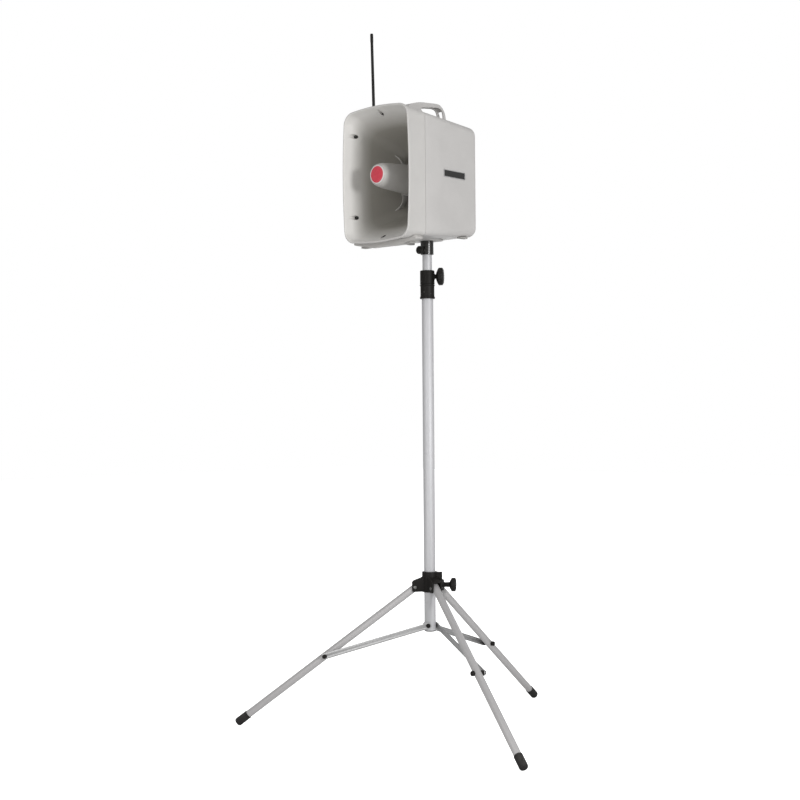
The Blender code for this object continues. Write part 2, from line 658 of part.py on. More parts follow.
cut(
    antenna_whip,
    add("whip_eye_hole", rod(1.6, -5, 5, 12), None, stand, pivot, (0, math.pi / 2, 0), True),
)

# Rear controls, battery and amplifier

outward = (-math.pi / 2, 0, 0)
PANEL_FACE = -REAR_F - 2.5
for name, x in (("mic_knob", 46), ("line_knob", 16)):
    hub_seat = (x, 0, 1505)
    shaft_hole = add(f"{name}_hole", rod(3.4, 60, 80, 12), None, stand, hub_seat, outward, helper=True)
    cut(rear_panel, shaft_hole)
    profile = [
        (3.0, 64.0), (3.0, PANEL_FACE + 0.5), (9.0, PANEL_FACE + 0.5), (9.0, PANEL_FACE + 9),
        (8.0, PANEL_FACE + 11.5),
    ]
    add(name, turned(profile, 20), BLACK, stand, hub_seat, outward)
ROCKER_Y, ROCKER_Z, ROCKER_TILT = PANEL_FACE - 4.5, 1505.0, math.radians(7)
rocker_outline = [(-2, -4.5), (4, -6.2), (7, -5.9), (5.6, 0), (7, 5.9), (4, 6.2), (-2, 4.5)]
rocker = extruded(rocker_outline, -5.8, 5.8, "x")
add("power_switch", rocker, BLACK, stand, (-46, ROCKER_Y, ROCKER_Z), (ROCKER_TILT, 0, 0))
slot = add("switch_slot", slab((12.6, 20, 15.4), (-46, PANEL_FACE, ROCKER_Z)), None, stand, helper=True)
DOOR_LOW, DOOR_TALL, DOOR_WIDE = 1301.0, 62.0, 118.0
doorway = add(
    "doorway",
    slab((DOOR_WIDE + 0.8, 20, DOOR_TALL + 0.8), (0, PANEL_FACE, DOOR_LOW + DOOR_TALL / 2)),
    None, stand, helper=True,
)
cut(rear_panel, slot, doorway)
door = slab((DOOR_WIDE, 2.6, DOOR_TALL), (0, -1.3, DOOR_TALL / 2))
add("battery_door", door, BLACK, stand, (0, PANEL_FACE, DOOR_LOW))
shelf = add("battery_shelf", slab((120, 49, 2.4), (0, 45.5, 1298.2)), None, stand, helper=True)
fuse(rear_panel, shelf)
add("battery_pack", slab((98, 43, 54), (0, 45, 1327.0)), BLACK, stand)
add("amplifier_board", slab((150, 1.6, 86), (0, 58, 1487)), BOARD, stand)
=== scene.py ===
"""A portable horn loudspeaker on a folding tripod stand: surfaces, fine shapes, camera and light."""

import json
import math

import bpy
from mathutils import Matrix, Vector


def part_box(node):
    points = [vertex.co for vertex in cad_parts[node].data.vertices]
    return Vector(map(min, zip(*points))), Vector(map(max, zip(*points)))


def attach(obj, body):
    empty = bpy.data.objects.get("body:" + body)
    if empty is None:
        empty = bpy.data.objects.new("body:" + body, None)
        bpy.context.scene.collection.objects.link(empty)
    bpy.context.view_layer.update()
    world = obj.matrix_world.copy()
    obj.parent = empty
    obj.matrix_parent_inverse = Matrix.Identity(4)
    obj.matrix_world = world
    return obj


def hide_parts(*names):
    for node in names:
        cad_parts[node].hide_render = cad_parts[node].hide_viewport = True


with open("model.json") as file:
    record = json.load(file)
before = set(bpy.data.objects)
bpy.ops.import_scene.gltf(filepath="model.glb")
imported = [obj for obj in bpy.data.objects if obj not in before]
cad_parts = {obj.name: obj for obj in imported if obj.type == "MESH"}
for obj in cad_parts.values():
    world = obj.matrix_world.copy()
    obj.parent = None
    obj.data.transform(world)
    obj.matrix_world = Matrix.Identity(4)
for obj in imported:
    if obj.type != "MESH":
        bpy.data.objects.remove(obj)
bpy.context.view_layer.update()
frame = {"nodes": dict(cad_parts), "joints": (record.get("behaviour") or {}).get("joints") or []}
MM = 0.001
UP = Vector((0, 0, 1))
FORWARD = Vector((0, -1, 0))
BACKWARD = Vector((0, 1, 0))
RIGHT = Vector((1, 0, 0))


def middle(node):
    low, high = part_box(node)
    return (low + high) / 2


POLE = Vector((middle("lower_tube").x, middle("lower_tube").y, 0))
JOINTS = {joint["name"]: joint for joint in frame["joints"]}

# Camera, floor and light

VIEW_TURN = math.radians(41.3)
CAMERA_REACH, CAMERA_HEIGHT = 3.8398, 0.8073
AIM_TURN, AIM_TILT, AIM_ROLL = 0.0193, 0.0131, -0.008
SENSOR_WIDTH, LENS_LONG, SEEN_FAR = 36, 66.00825, 60
ROOM_GLOW, ROOM_SEEN = 0.45, 1.0
FLOOR_WIDTH, PAPER_TONE, PAPER_ROUGHNESS = 30, 0.8, 0.9
LIGHT_TARGET_HEIGHT = 0.95
# Name, offset from the target, width, power
LIGHTS = (
    ("key", (3.55, -0.8, 0.5), 0.6, 60),
    ("fill", (0.7, -3.6, 0.4), 2.2, 30),
    ("back_fill", (-2.2, 3.2, 0.7), 2.2, 34),
)


def set_camera():
    camera = bpy.data.objects.new("camera", bpy.data.cameras.new("camera"))
    bpy.context.scene.collection.objects.link(camera)
    back = Vector((math.sin(VIEW_TURN), -math.cos(VIEW_TURN), 0))
    camera.location = POLE + back * CAMERA_REACH + UP * CAMERA_HEIGHT
    heading = VIEW_TURN + AIM_TURN
    ahead = Vector(
        (
            -math.sin(heading) * math.cos(AIM_TILT), math.cos(heading) * math.cos(AIM_TILT),
            math.sin(AIM_TILT),
        )
    )
    side = ahead.cross(UP).normalized()
    up = side.cross(ahead)
    rolled_side = side * math.cos(AIM_ROLL) + up * math.sin(AIM_ROLL)
    rolled_up = up * math.cos(AIM_ROLL) - side * math.sin(AIM_ROLL)
    turn = Matrix((rolled_side, rolled_up, -ahead)).transposed()
    camera.rotation_euler = turn.to_euler()
    camera.data.sensor_width = SENSOR_WIDTH
    camera.data.lens = LENS_LONG
    camera.data.clip_end = SEEN_FAR
    bpy.context.scene.camera = camera


def soft_light(name, offset, size, power):
    light = bpy.data.lights.new(name, "AREA")
    light.shape = "SQUARE"
    light.size = size
    light.energy = power
    lamp = bpy.data.objects.new(name, light)
    bpy.context.scene.collection.objects.link(lamp)
    target = POLE + UP * LIGHT_TARGET_HEIGHT
    lamp.location = target + Vector(offset)
    lamp.rotation_euler = (-Vector(offset)).to_track_quat("-Z", "Y").to_euler()


def set_studio():
    world = bpy.data.worlds.new("studio")
    bpy.context.scene.world = world
    world.use_nodes = True
    tree = world.node_tree
    tree.nodes["Background"].inputs["Color"].default_value = (1.0, 1.0, 1.0, 1)
    seen = tree.nodes.new("ShaderNodeLightPath")
    strength = tree.nodes.new("ShaderNodeMapRange")
    strength.inputs["To Min"].default_value = ROOM_GLOW
    strength.inputs["To Max"].default_value = ROOM_SEEN
    tree.links.new(seen.outputs["Is Camera Ray"], strength.inputs["Value"])
    tree.links.new(strength.outputs["Result"], tree.nodes["Background"].inputs["Strength"])
    bpy.ops.mesh.primitive_plane_add(size=FLOOR_WIDTH, location=(POLE.x, POLE.y, 0))
    floor = bpy.context.object
    floor.name = "floor"
    paper = bpy.data.materials.new("white_paper")
    paper.use_nodes = True
    shader = paper.node_tree.nodes["Principled BSDF"]
    shader.inputs["Base Color"].default_value = (PAPER_TONE, PAPER_TONE, PAPER_TONE, 1)
    shader.inputs["Roughness"].default_value = PAPER_ROUGHNESS
    shader.inputs["Emission Color"].default_value = (1.0, 1.0, 1.0, 1)
    glow = paper.node_tree.nodes.new("ShaderNodeLightPath")
    paper.node_tree.links.new(glow.outputs["Is Camera Ray"], shader.inputs["Emission Strength"])
    floor.data.materials.append(paper)
    for name, offset, width, power in LIGHTS:
        soft_light(name, offset, width, power)


# Finishes: shared effects first, then the material of each part


def effect(name, inputs, outputs):
    """Starts a node group with named sockets and gives back the group and its two end nodes."""
    group = bpy.data.node_groups.new(name, "ShaderNodeTree")
    for label, kind, value in inputs:
        socket = group.interface.new_socket(name=label, in_out="INPUT", socket_type=kind)
        if value is not None:
            socket.default_value = value
    for label, kind in outputs:
        group.interface.new_socket(name=label, in_out="OUTPUT", socket_type=kind)
    return group, group.nodes.new("NodeGroupInput"), group.nodes.new("NodeGroupOutput")


def sums(group, operation, first, second=0.0, clamp=False):
    """A Math node; a number or a socket may be given for either side."""
    node = group.nodes.new("ShaderNodeMath")
    node.operation = operation
    node.use_clamp = clamp
    for slot, value in enumerate((first, second)):
        if isinstance(value, (int, float)):
            node.inputs[slot].default_value = value
        else:
            group.links.new(value, node.inputs[slot])
    return node.outputs["Value"]


def spots(group, position, scale, detail, rough=0.5):
    """Fractal noise at a scale that is a number or a socket."""
    node = group.nodes.new("ShaderNodeTexNoise")
    group.links.new(position, node.inputs["Vector"])
    if isinstance(scale, (int, float)):
        node.inputs["Scale"].default_value = scale
    else:
        group.links.new(scale, node.inputs["Scale"])
    node.inputs["Detail"].default_value = detail
    node.inputs["Roughness"].default_value = rough
    return node.outputs["Fac"]


def steps_between(group, value, low, high):
    """Runs from 0 at low to 1 at high."""
    node = group.nodes.new("ShaderNodeMapRange")
    node.clamp = True
    group.links.new(value, node.inputs["Value"])
    node.inputs["From Min"].default_value = low
    node.inputs["From Max"].default_value = high
    return node.outputs["Result"]


def make_mould_grain():
    """The fine pebbled skin of moulded plastic, with the slow unevenness of a large moulding."""
    group, start, end = effect(
        "mould_grain",
        [("Position", "NodeSocketVector", None), ("Pebble Scale", "NodeSocketFloat", 900.0)],
        [("Height", "NodeSocketFloat"), ("Unevenness", "NodeSocketFloat")],
    )
    pebbles = group.nodes.new("ShaderNodeTexVoronoi")
    pebbles.feature = "SMOOTH_F1"
    group.links.new(start.outputs["Position"], pebbles.inputs["Vector"])
    group.links.new(start.outputs["Pebble Scale"], pebbles.inputs["Scale"])
    fuzz = spots(group, start.outputs["Position"], start.outputs["Pebble Scale"], 2.0)
    height = sums(group, "ADD", pebbles.outputs["Distance"], sums(group, "MULTIPLY", fuzz, 0.6))
    slow = spots(group, start.outputs["Position"], 14.0, 3.0, 0.6)
    group.links.new(height, end.inputs["Height"])
    group.links.new(slow, end.inputs["Unevenness"])
    return group


def make_handling_marks():
    """Fine scratches and rubbed patches, more of them as Amount rises."""
    group, start, end = effect(
        "handling_marks",
        [("Position", "NodeSocketVector", None), ("Amount", "NodeSocketFloat", 0.3)],
        [("Scratches", "NodeSocketFloat"), ("Rubbing", "NodeSocketFloat")],
    )
    total = None
    for turn in (0.4, 1.9, 2.7):
        lay = group.nodes.new("ShaderNodeMapping")
        lay.inputs["Rotation"].default_value = (turn, 0.7 * turn, 1.3 * turn)
        lay.inputs["Scale"].default_value = (9.0, 260.0, 60.0)
        group.links.new(start.outputs["Position"], lay.inputs["Vector"])
        line = steps_between(group, spots(group, lay.outputs["Vector"], 1.0, 2.0), 0.67, 0.74)
        total = line if total is None else sums(group, "MAXIMUM", total, line)
    patches = steps_between(group, spots(group, start.outputs["Position"], 30.0, 4.0, 0.65), 0.52, 0.75)
    group.links.new(
        sums(group, "MULTIPLY", total, start.outputs["Amount"], True), end.inputs["Scratches"],
    )
    group.links.new(
        sums(group, "MULTIPLY", patches, start.outputs["Amount"], True), end.inputs["Rubbing"],
    )
    return group


def make_settled_dust():
    """Dust on what faces up, thicker in uneven drifts."""
    group, start, end = effect(
        "settled_dust",
        [("Position", "NodeSocketVector", None), ("Amount", "NodeSocketFloat", 0.3)],
        [("Dust", "NodeSocketFloat")],
    )
    facing = group.nodes.new("ShaderNodeNewGeometry")
    parts = group.nodes.new("ShaderNodeSeparateXYZ")
    group.links.new(facing.outputs["Normal"], parts.inputs["Vector"])
    level = steps_between(group, parts.outputs["Z"], 0.25, 1.0)
    drift = steps_between(group, spots(group, start.outputs["Position"], 55.0, 5.0, 0.7), 0.35, 0.7)
    dust = sums(group, "MULTIPLY", sums(group, "MULTIPLY", level, drift), start.outputs["Amount"], True)
    group.links.new(dust, end.inputs["Dust"])
    return group


def make_drawn_grain():
    """Fine lines that run along Z, as on a drawn or brushed tube."""
    group, start, end = effect(
        "drawn_grain",
        [("Position", "NodeSocketVector", None)],
        [("Lines", "NodeSocketFloat"), ("Bands", "NodeSocketFloat")],
    )
    for label, scale, detail in (
        ("Lines", (1400.0, 1400.0, 9.0), 3.0), ("Bands", (120.0, 120.0, 3.0), 2.0),
    ):
        lay = group.nodes.new("ShaderNodeMapping")
        lay.inputs["Scale"].default_value = scale
        group.links.new(start.outputs["Position"], lay.inputs["Vector"])
        group.links.new(spots(group, lay.outputs["Vector"], 1.0, detail), end.inputs[label])
    return group


MOULD_GRAIN = make_mould_grain()
HANDLING_MARKS = make_handling_marks()
SETTLED_DUST = make_settled_dust()
DRAWN_GRAIN = make_drawn_grain()


def blank_finish(name, metallic=0.0, coat=0.0):
    material = bpy.data.materials.new(name)
    material.use_nodes = True
    tree = material.node_tree
    shader = tree.nodes["Principled BSDF"]
    shader.inputs["Metallic"].default_value = metallic
    shader.inputs["Coat Weight"].default_value = coat
    shader.inputs["Coat Roughness"].default_value = 0.15
    place = tree.nodes.new("ShaderNodeTexCoord").outputs["Object"]
    return material, tree, shader, place


def use(tree, group, position, **values):
    node = tree.nodes.new("ShaderNodeGroup")
    node.node_tree = group
    tree.links.new(position, node.inputs["Position"])
    for label, value in values.items():
        node.inputs[label.replace("_", " ")].default_value = value
    return node.outputs


def blend_colour(tree, first, second, share):
    """Mixes two colours, each a tuple or a socket, by a share socket."""
    node = tree.nodes.new("ShaderNodeMix")
    node.data_type = "RGBA"
    for slot, value in (("A", first), ("B", second)):
        socket = [s for s in node.inputs if s.name == slot and s.type == "RGBA"][0]
        if isinstance(value, tuple):
            socket.default_value = (*value, 1.0)
        else:
            tree.links.new(value, socket)
    tree.links.new(share, node.inputs["Factor"])
    return [s for s in node.outputs if s.type == "RGBA"][0]


def raise_surface(tree, shader, height, depth, strength=1.0):
    bump = tree.nodes.new("ShaderNodeBump")
    bump.inputs["Distance"].default_value = depth
    bump.inputs["Strength"].default_value = strength
    tree.links.new(height, bump.inputs["Height"])
    tree.links.new(bump.outputs["Normal"], shader.inputs["Normal"])


DUST_COLOUR = (0.42, 0.40, 0.37)


def moulded(
    name, colour, roughness, pebble=900.0, depth=0.00008, uneven=0.1, marks=0.25, dust=0.25,
    lighter=1.5, coat=0.0, sheen_level=0.5,
):
    """Moulded plastic or rubber: pebbled skin, slow colour drift, rubbed and scratched places, dust."""
    material, tree, shader, place = blank_finish(name, 0.0, coat)
    shader.inputs["Specular IOR Level"].default_value = sheen_level
    grain = use(tree, MOULD_GRAIN, place, Pebble_Scale=pebble)
    worn = use(tree, HANDLING_MARKS, place, Amount=marks)
    settled = use(tree, SETTLED_DUST, place, Amount=dust)
    drift = steps_between(tree, grain["Unevenness"], 0.3, 0.7)
    shade = blend_colour(
        tree, tuple(c * (1 - uneven) for c in colour), tuple(min(c * (1 + uneven), 1) for c in colour),
        drift,
    )
    pale = tuple(min(c * lighter + 0.02, 1) for c in colour)
    shade = blend_colour(tree, shade, pale, sums(tree, "MULTIPLY", worn["Scratches"], 0.8))
    shade = blend_colour(tree, shade, pale, sums(tree, "MULTIPLY", worn["Rubbing"], 0.35))
    shade = blend_colour(tree, shade, DUST_COLOUR, sums(tree, "MULTIPLY", settled["Dust"], 0.6))
    tree.links.new(shade, shader.inputs["Base Color"])
    polish = sums(tree, "SUBTRACT", roughness, sums(tree, "MULTIPLY", worn["Rubbing"], 0.25))
    polish = sums(tree, "ADD", polish, sums(tree, "MULTIPLY", settled["Dust"], 0.4))
    polish = sums(tree, "ADD", polish, sums(tree, "MULTIPLY", drift, 0.06), True)
    tree.links.new(polish, shader.inputs["Roughness"])
    height = sums(tree, "SUBTRACT", grain["Height"], sums(tree, "MULTIPLY", worn["Scratches"], 0.5))
    raise_surface(tree, shader, height, depth)
    return material


def tube_finish(name, along=UP, colour=(0.71, 0.71, 0.72), roughness=0.36, marks=0.3, metal=1.0):
    """Satin anodised tube whose drawing lines run along its own axis."""
    material, tree, shader, place = blank_finish(name, metal)
    turned = tree.nodes.new("ShaderNodeMapping")
    turned.vector_type = "POINT"
    turned.inputs["Rotation"].default_value = along.rotation_difference(UP).to_euler()
    tree.links.new(place, turned.inputs["Vector"])
    drawn = use(tree, DRAWN_GRAIN, turned.outputs["Vector"])
    worn = use(tree, HANDLING_MARKS, place, Amount=marks)
    bands = steps_between(tree, drawn["Bands"], 0.35, 0.65)
    shade = blend_colour(
        tree, tuple(c * 0.95 for c in colour), tuple(min(c * 1.04, 1) for c in colour), bands,
    )
    shade = blend_colour(
        tree, shade, tuple(c * 0.72 for c in colour), sums(tree, "MULTIPLY", worn["Scratches"], 0.7),
    )
    shade = blend_colour(tree, shade, tuple(c * 0.9 for c in colour), worn["Rubbing"])
    tree.links.new(shade, shader.inputs["Base Color"])
    rough = sums(tree, "ADD", roughness - 0.05, sums(tree, "MULTIPLY", drawn["Lines"], 0.12))
    rough = sums(tree, "ADD", rough, sums(tree, "MULTIPLY", worn["Rubbing"], 0.12), True)
    tree.links.new(rough, shader.inputs["Roughness"])
    height = sums(tree, "SUBTRACT", drawn["Lines"], worn["Scratches"])
    raise_surface(tree, shader, height, 0.00003)
    return material


def throat_finish_painted_shade():
    """The horn's inner moulding with painted shade: the colour turns darker and browner from a little behind
    the rim, standing in for the shade deep in the throat.
    """
    material = moulded(
        "warm_grey_throat_painted_shade", (0.68, 0.665, 0.64), roughness=0.5, pebble=1100.0, depth=0.00005,
        uneven=0.03, marks=0.1, dust=0.1, lighter=1.15,
    )
    tree = material.node_tree
    shader = tree.nodes["Principled BSDF"]
    skin = shader.inputs["Base Color"].links[0].from_socket
    place = tree.nodes.new("ShaderNodeTexCoord").outputs["Object"]
    centred = tree.nodes.new("ShaderNodeMapping")
    centred.inputs["Location"].default_value = -middle("reflex_nose")
    tree.links.new(place, centred.inputs["Vector"])
    split = tree.nodes.new("ShaderNodeSeparateXYZ")
    tree.links.new(centred.outputs["Vector"], split.inputs["Vector"])
    # Painted shade: the colour darkens towards a dark brown the deeper it lies in the throat
    painted_shade_depth = steps_between(tree, split.outputs["Y"], -0.052, 0.005)
    painted_shade_tone = blend_colour(tree, skin, (0.27, 0.255, 0.22), sums(tree, "MULTIPLY", painted_shade_depth, 0.85))
    tree.links.new(painted_shade_tone, shader.inputs["Base Color"])
    return material


SHELL = moulded(
    "warm_grey_shell", (0.535, 0.522, 0.51), roughness=0.5, pebble=1100.0, depth=0.00006, uneven=0.03,
    marks=0.12, dust=0.12, lighter=1.15,
)
FRONT_SHELL = moulded(
    "pale_grey_front", (0.575, 0.562, 0.545), roughness=0.48, pebble=1100.0, depth=0.00005, uneven=0.03,
    marks=0.1, dust=0.1, lighter=1.15,
)
THROAT_PAINTED_SHADE = throat_finish_painted_shade()
HORN = moulded(
    "warm_grey_nose", (0.5, 0.487, 0.467), roughness=0.48, pebble=1100.0, depth=0.00005, uneven=0.03,
    marks=0.1, dust=0.1, lighter=1.15,
)
BLACK = moulded(
    "black_fitting", (0.009, 0.008, 0.007), roughness=0.5, pebble=1300.0, depth=0.00007, uneven=0.12,
    marks=0.15, dust=0.1, lighter=2.0, coat=0.0, sheen_level=0.2,
)
KNOB_BLACK = moulded(
    "black_knob", (0.008, 0.0072, 0.0065), roughness=0.46, pebble=1600.0, depth=0.00006, uneven=0.12,
    marks=0.2, dust=0.08, lighter=2.0, coat=0.0, sheen_level=0.25,
)
RUBBER = moulded(
    "black_rubber", (0.012, 0.011, 0.0105), roughness=0.75, pebble=800.0, depth=0.0001, uneven=0.15,
    marks=0.3, dust=0.25, lighter=2.2,
)
WHIP = moulded(
    "antenna_sleeve", (0.009, 0.0085, 0.008), roughness=0.5, pebble=1800.0, depth=0.00004, uneven=0.1,
    marks=0.15, dust=0.1, lighter=2.0, coat=0.0, sheen_level=0.25,
)
PANEL = moulded(
    "black_panel", (0.022, 0.021, 0.02), roughness=0.5, pebble=1200.0, depth=0.00006, uneven=0.12,
    marks=0.25, dust=0.2, lighter=2.0,
)
PAD = moulded(
    "grey_pad", (0.34, 0.33, 0.315), roughness=0.7, pebble=900.0, depth=0.0001, uneven=0.1, marks=0.3,
    dust=0.1, lighter=1.3,
)
CELL = moulded(
    "battery_wrap", (0.03, 0.05, 0.12), roughness=0.35, pebble=1500.0, depth=0.00004, uneven=0.1,
    marks=0.2, dust=0.1, lighter=1.6,
)
BOARD = moulded(
    "board_lacquer", (0.02, 0.12, 0.05), roughness=0.35, pebble=700.0, depth=0.00005, uneven=0.25,
    marks=0.15, dust=0.2, lighter=1.8, coat=0.4,
)
FERRITE = moulded(
    "magnet_ferrite", (0.05, 0.05, 0.052), roughness=0.65, pebble=1500.0, depth=0.0001, uneven=0.25,
    marks=0.25, dust=0.3, lighter=1.8,
)
RIVET = tube_finish("rivet_steel", UP, colour=(0.2, 0.2, 0.195), roughness=0.4, marks=0.3)
SCREW = tube_finish("screw_steel", UP, colour=(0.06, 0.06, 0.057), roughness=0.45, marks=0.3)
ALLOY = tube_finish("cast_alloy", UP, colour=(0.55, 0.55, 0.55), roughness=0.5, marks=0.3)
LEG_END = tube_finish("leg_end_alloy", UP, colour=(0.5, 0.5, 0.5), roughness=0.5, marks=0.4)
BORDER = tube_finish("plate_border", UP, colour=(0.62, 0.62, 0.62), roughness=0.35, marks=0.25)
MAST = tube_finish("mast_tube", UP, colour=(0.62, 0.62, 0.635), roughness=0.5, marks=0.3, metal=0.35)
POST = tube_finish("lower_post", UP, colour=(0.6, 0.6, 0.615), roughness=0.55, marks=0.35, metal=0.3)


def badge_finish():
    """Enamelled disc: red field inside a thin white ring, under a clear coat."""
    material, tree, shader, place = blank_finish("enamel_badge", 0.0, 0.6)
    centred = tree.nodes.new("ShaderNodeMapping")
    centred.inputs["Location"].default_value = -middle("nose_badge")
    tree.links.new(place, centred.inputs["Vector"])
    split = tree.nodes.new("ShaderNodeSeparateXYZ")
    tree.links.new(centred.outputs["Vector"], split.inputs["Vector"])
    across = sums(tree, "POWER", split.outputs["X"], 2.0)
    height = sums(tree, "POWER", split.outputs["Z"], 2.0)
    radius = sums(tree, "SQRT", sums(tree, "ADD", across, height))
    ring = steps_between(tree, radius, 0.0209, 0.0213)
    worn = use(tree, HANDLING_MARKS, place, Amount=0.3)
    mottled = steps_between(tree, spots(tree, place, 160.0, 4.0, 0.6), 0.3, 0.7)
    red = blend_colour(tree, (0.62, 0.03, 0.06), (0.7, 0.045, 0.08), mottled)
    shade = blend_colour(tree, red, (0.75, 0.73, 0.72), ring)
    shade = blend_colour(tree, shade, (0.8, 0.5, 0.5), sums(tree, "MULTIPLY", worn["Scratches"], 0.5))
    tree.links.new(shade, shader.inputs["Base Color"])
    rough = sums(tree, "ADD", 0.3, sums(tree, "MULTIPLY", worn["Rubbing"], 0.3), True)
    tree.links.new(rough, shader.inputs["Roughness"])
    raise_surface(tree, shader, mottled, 0.00003)
    return material


BADGE = badge_finish()
SOCKET = moulded(
    "socket_black", (0.010, 0.009, 0.008), roughness=0.3, pebble=1500.0, depth=0.00003, uneven=0.12,
    marks=0.15, dust=0.08, lighter=2.0, coat=0.3,
)
BADGE_LAMP = moulded(
    "lamp_lens", (0.5, 0.02, 0.02), roughness=0.2, pebble=1500.0, depth=0.00002, uneven=0.1, marks=0.1,
    dust=0.1, lighter=1.5, coat=0.5,
)

# Ways of working: each starts from a primitive and shapes it in edit mode, in millimetres


def alone(piece):
    """Leaves edit mode and selects this piece only."""
    if bpy.context.mode != "OBJECT":
        bpy.ops.object.mode_set(mode="OBJECT")
    bpy.ops.object.select_all(action="DESELECT")
    piece.select_set(True)
    bpy.context.view_layer.objects.active = piece


def dot(name, spot):
    """Starts a piece as one loose point, in edit mode."""
    if bpy.context.mode != "OBJECT":
        bpy.ops.object.mode_set(mode="OBJECT")
    bpy.ops.object.select_all(action="DESELECT")
    bpy.ops.mesh.primitive_plane_add(size=0.01, location=(0, 0, 0))
    piece = bpy.context.object
    piece.name = name
    piece.data.name = name
    bpy.ops.object.mode_set(mode="EDIT")
    bpy.ops.mesh.select_all(action="SELECT")
    bpy.ops.mesh.merge(type="CENTER")
    bpy.ops.transform.translate(value=Vector(spot) * MM)
    return piece


def draw_on(spots):
    """Pulls the chosen point on from spot to spot, leaving an edge behind it."""
    for before, after in zip(spots, spots[1:]):
        step = (Vector(after) - Vector(before)) * MM
        bpy.ops.mesh.extrude_region_move(TRANSFORM_OT_translate={"value": step})


def close_up():
    """Merges what meets, turns the faces outwards and leaves edit mode."""
    bpy.ops.mesh.select_all(action="SELECT")
    bpy.ops.mesh.remove_doubles(threshold=0.00001)
    bpy.ops.mesh.normals_make_consistent(inside=False)
    bpy.ops.object.mode_set(mode="OBJECT")


def spun(name, profile, sides=72, closed=False):
    """Draws a half profile of (radius, height) points and spins it about Z. A closed one is a ring."""
    spots = [(radius, 0, height) for radius, height in profile]
    if closed:
        spots.append(spots[0])
    piece = dot(name, spots[0])
    draw_on(spots)
    bpy.ops.mesh.select_all(action="SELECT")
    bpy.ops.mesh.spin(steps=sides, angle=2 * math.pi, center=(0, 0, 0), axis=(0, 0, 1))
    close_up()
    return piece


def rod(name, radius, low, high, sides=32):
    """A plain round bar about Z, to cut, join or shape further."""
    return spun(name, [(0, low), (radius, low), (radius, high), (0, high)], sides)


def drawn(name, outline, low, high):
    """Draws an outline of (x, y) points, fills it and pulls it up from low to high."""
    spots = [(x, y, low) for x, y in outline]
    piece = dot(name, spots[0])
    draw_on(spots + spots[:1])
    bpy.ops.mesh.select_all(action="SELECT")
    bpy.ops.mesh.remove_doubles(threshold=0.00001)
    bpy.ops.mesh.edge_face_add()
    bpy.ops.mesh.extrude_region_move(TRANSFORM_OT_translate={"value": (0, 0, (high - low) * MM)})
    close_up()
    return piece


def block(name, size, centre=(0, 0, 0)):
    """A box in edit-ready form, for cutting or joining."""
    bpy.ops.object.select_all(action="DESELECT")
    bpy.ops.mesh.primitive_cube_add(size=1, location=Vector(centre) * MM, scale=Vector(size) * MM)
    piece = bpy.context.object
    piece.name = name
    bpy.ops.object.transform_apply(location=True, rotation=True, scale=True)
    return piece


def join(name, pieces):
    alone(pieces[0])
    for piece in pieces:
        piece.select_set(True)
    bpy.ops.object.join()
    pieces[0].name = name
    return pieces[0]


def bridged(name, first, second):
    """Draws two loops of points and bridges them."""
    loops = []
    for spots in (first, second):
        loop = dot("loop", spots[0])
        draw_on(spots + spots[:1])
        bpy.ops.mesh.select_all(action="SELECT")
        bpy.ops.mesh.remove_doubles(threshold=0.00001)
        bpy.ops.object.mode_set(mode="OBJECT")
        loops.append(loop)
    piece = join(name, loops)
    bpy.ops.object.mode_set(mode="EDIT")
    bpy.ops.mesh.select_all(action="SELECT")
    bpy.ops.mesh.bridge_edge_loops()
    bpy.ops.object.mode_set(mode="OBJECT")
    return piece


def lofted(name, loops, ring=False):
    """A skin bridged through a row of loops. A ring's last loop meets its first; others are capped."""
    pairs = list(zip(loops, loops[1:]))
    if ring:
        pairs.append((loops[-1], loops[0]))
    bands = [bridged(name, first, second) for first, second in pairs]
    piece = join(name, bands)
    bpy.ops.object.mode_set(mode="EDIT")
    bpy.ops.mesh.select_all(action="SELECT")
    bpy.ops.mesh.remove_doubles(threshold=0.00001)
    if not ring:
        bpy.ops.mesh.select_all(action="DESELECT")
        bpy.ops.mesh.select_non_manifold(extend=False)
        bpy.ops.mesh.edge_face_add()
    close_up()
    return piece


def carve(piece, *tools, operation="DIFFERENCE"):
    """Cuts tools from a piece, or joins them to it, and clears the tools away."""
    alone(piece)
    for tool in tools:
        step = piece.modifiers.new("step", "BOOLEAN")
        step.operation = operation
        step.solver = "EXACT"
        step.object = tool
        bpy.ops.object.modifier_apply(modifier="step")
        bpy.data.objects.remove(tool, do_unlink=True)
    return piece


def soften(piece, width, segments=3, angle=30):
    """Rounds the edges sharper than an angle."""
    alone(piece)
    edge = piece.modifiers.new("edge", "BEVEL")
    edge.width = width * MM
    edge.segments = segments
    edge.limit_method = "ANGLE"
    edge.angle_limit = math.radians(angle)
    bpy.ops.object.modifier_apply(modifier="edge")
    return piece


def seat(piece, place):
    """Moves a piece to its place and leaves the place in its mesh."""
    alone(piece)
    piece.matrix_world = place
    bpy.ops.object.transform_apply(location=True, rotation=True, scale=True)
    return piece


def on_pole(piece):
    """Sets a piece that was drawn about Z on the post's axis."""
    return seat(piece, Matrix.Translation(POLE))


def copy_of(piece, name):
    twin = piece.copy()
    twin.data = piece.data.copy()
    twin.name = name
    bpy.context.scene.collection.objects.link(twin)
    return twin


def at(spot, along=UP, across=None):
    """A place whose Z runs along a direction and whose X lies as near to across as it can."""
    along = Vector(along).normalized()
    side = Vector(across) if across is not None else (RIGHT if abs(along.x) < 0.9 else UP)
    side = (side - along * side.dot(along)).normalized()
    turn = Matrix((side, along.cross(side), along)).transposed().to_4x4()
    return Matrix.Translation(Vector(spot)) @ turn


def install(piece, finish, body, nodes=(), angle=35):
    """Smooths a finished piece, gives it its finish and hangs it on its body."""
    alone(piece)
    bpy.ops.object.shade_smooth_by_angle(angle=math.radians(angle))
    piece.data.materials.clear()
    piece.data.materials.append(finish)
    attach(piece, body)
    if nodes:
        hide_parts(*nodes)
    return piece


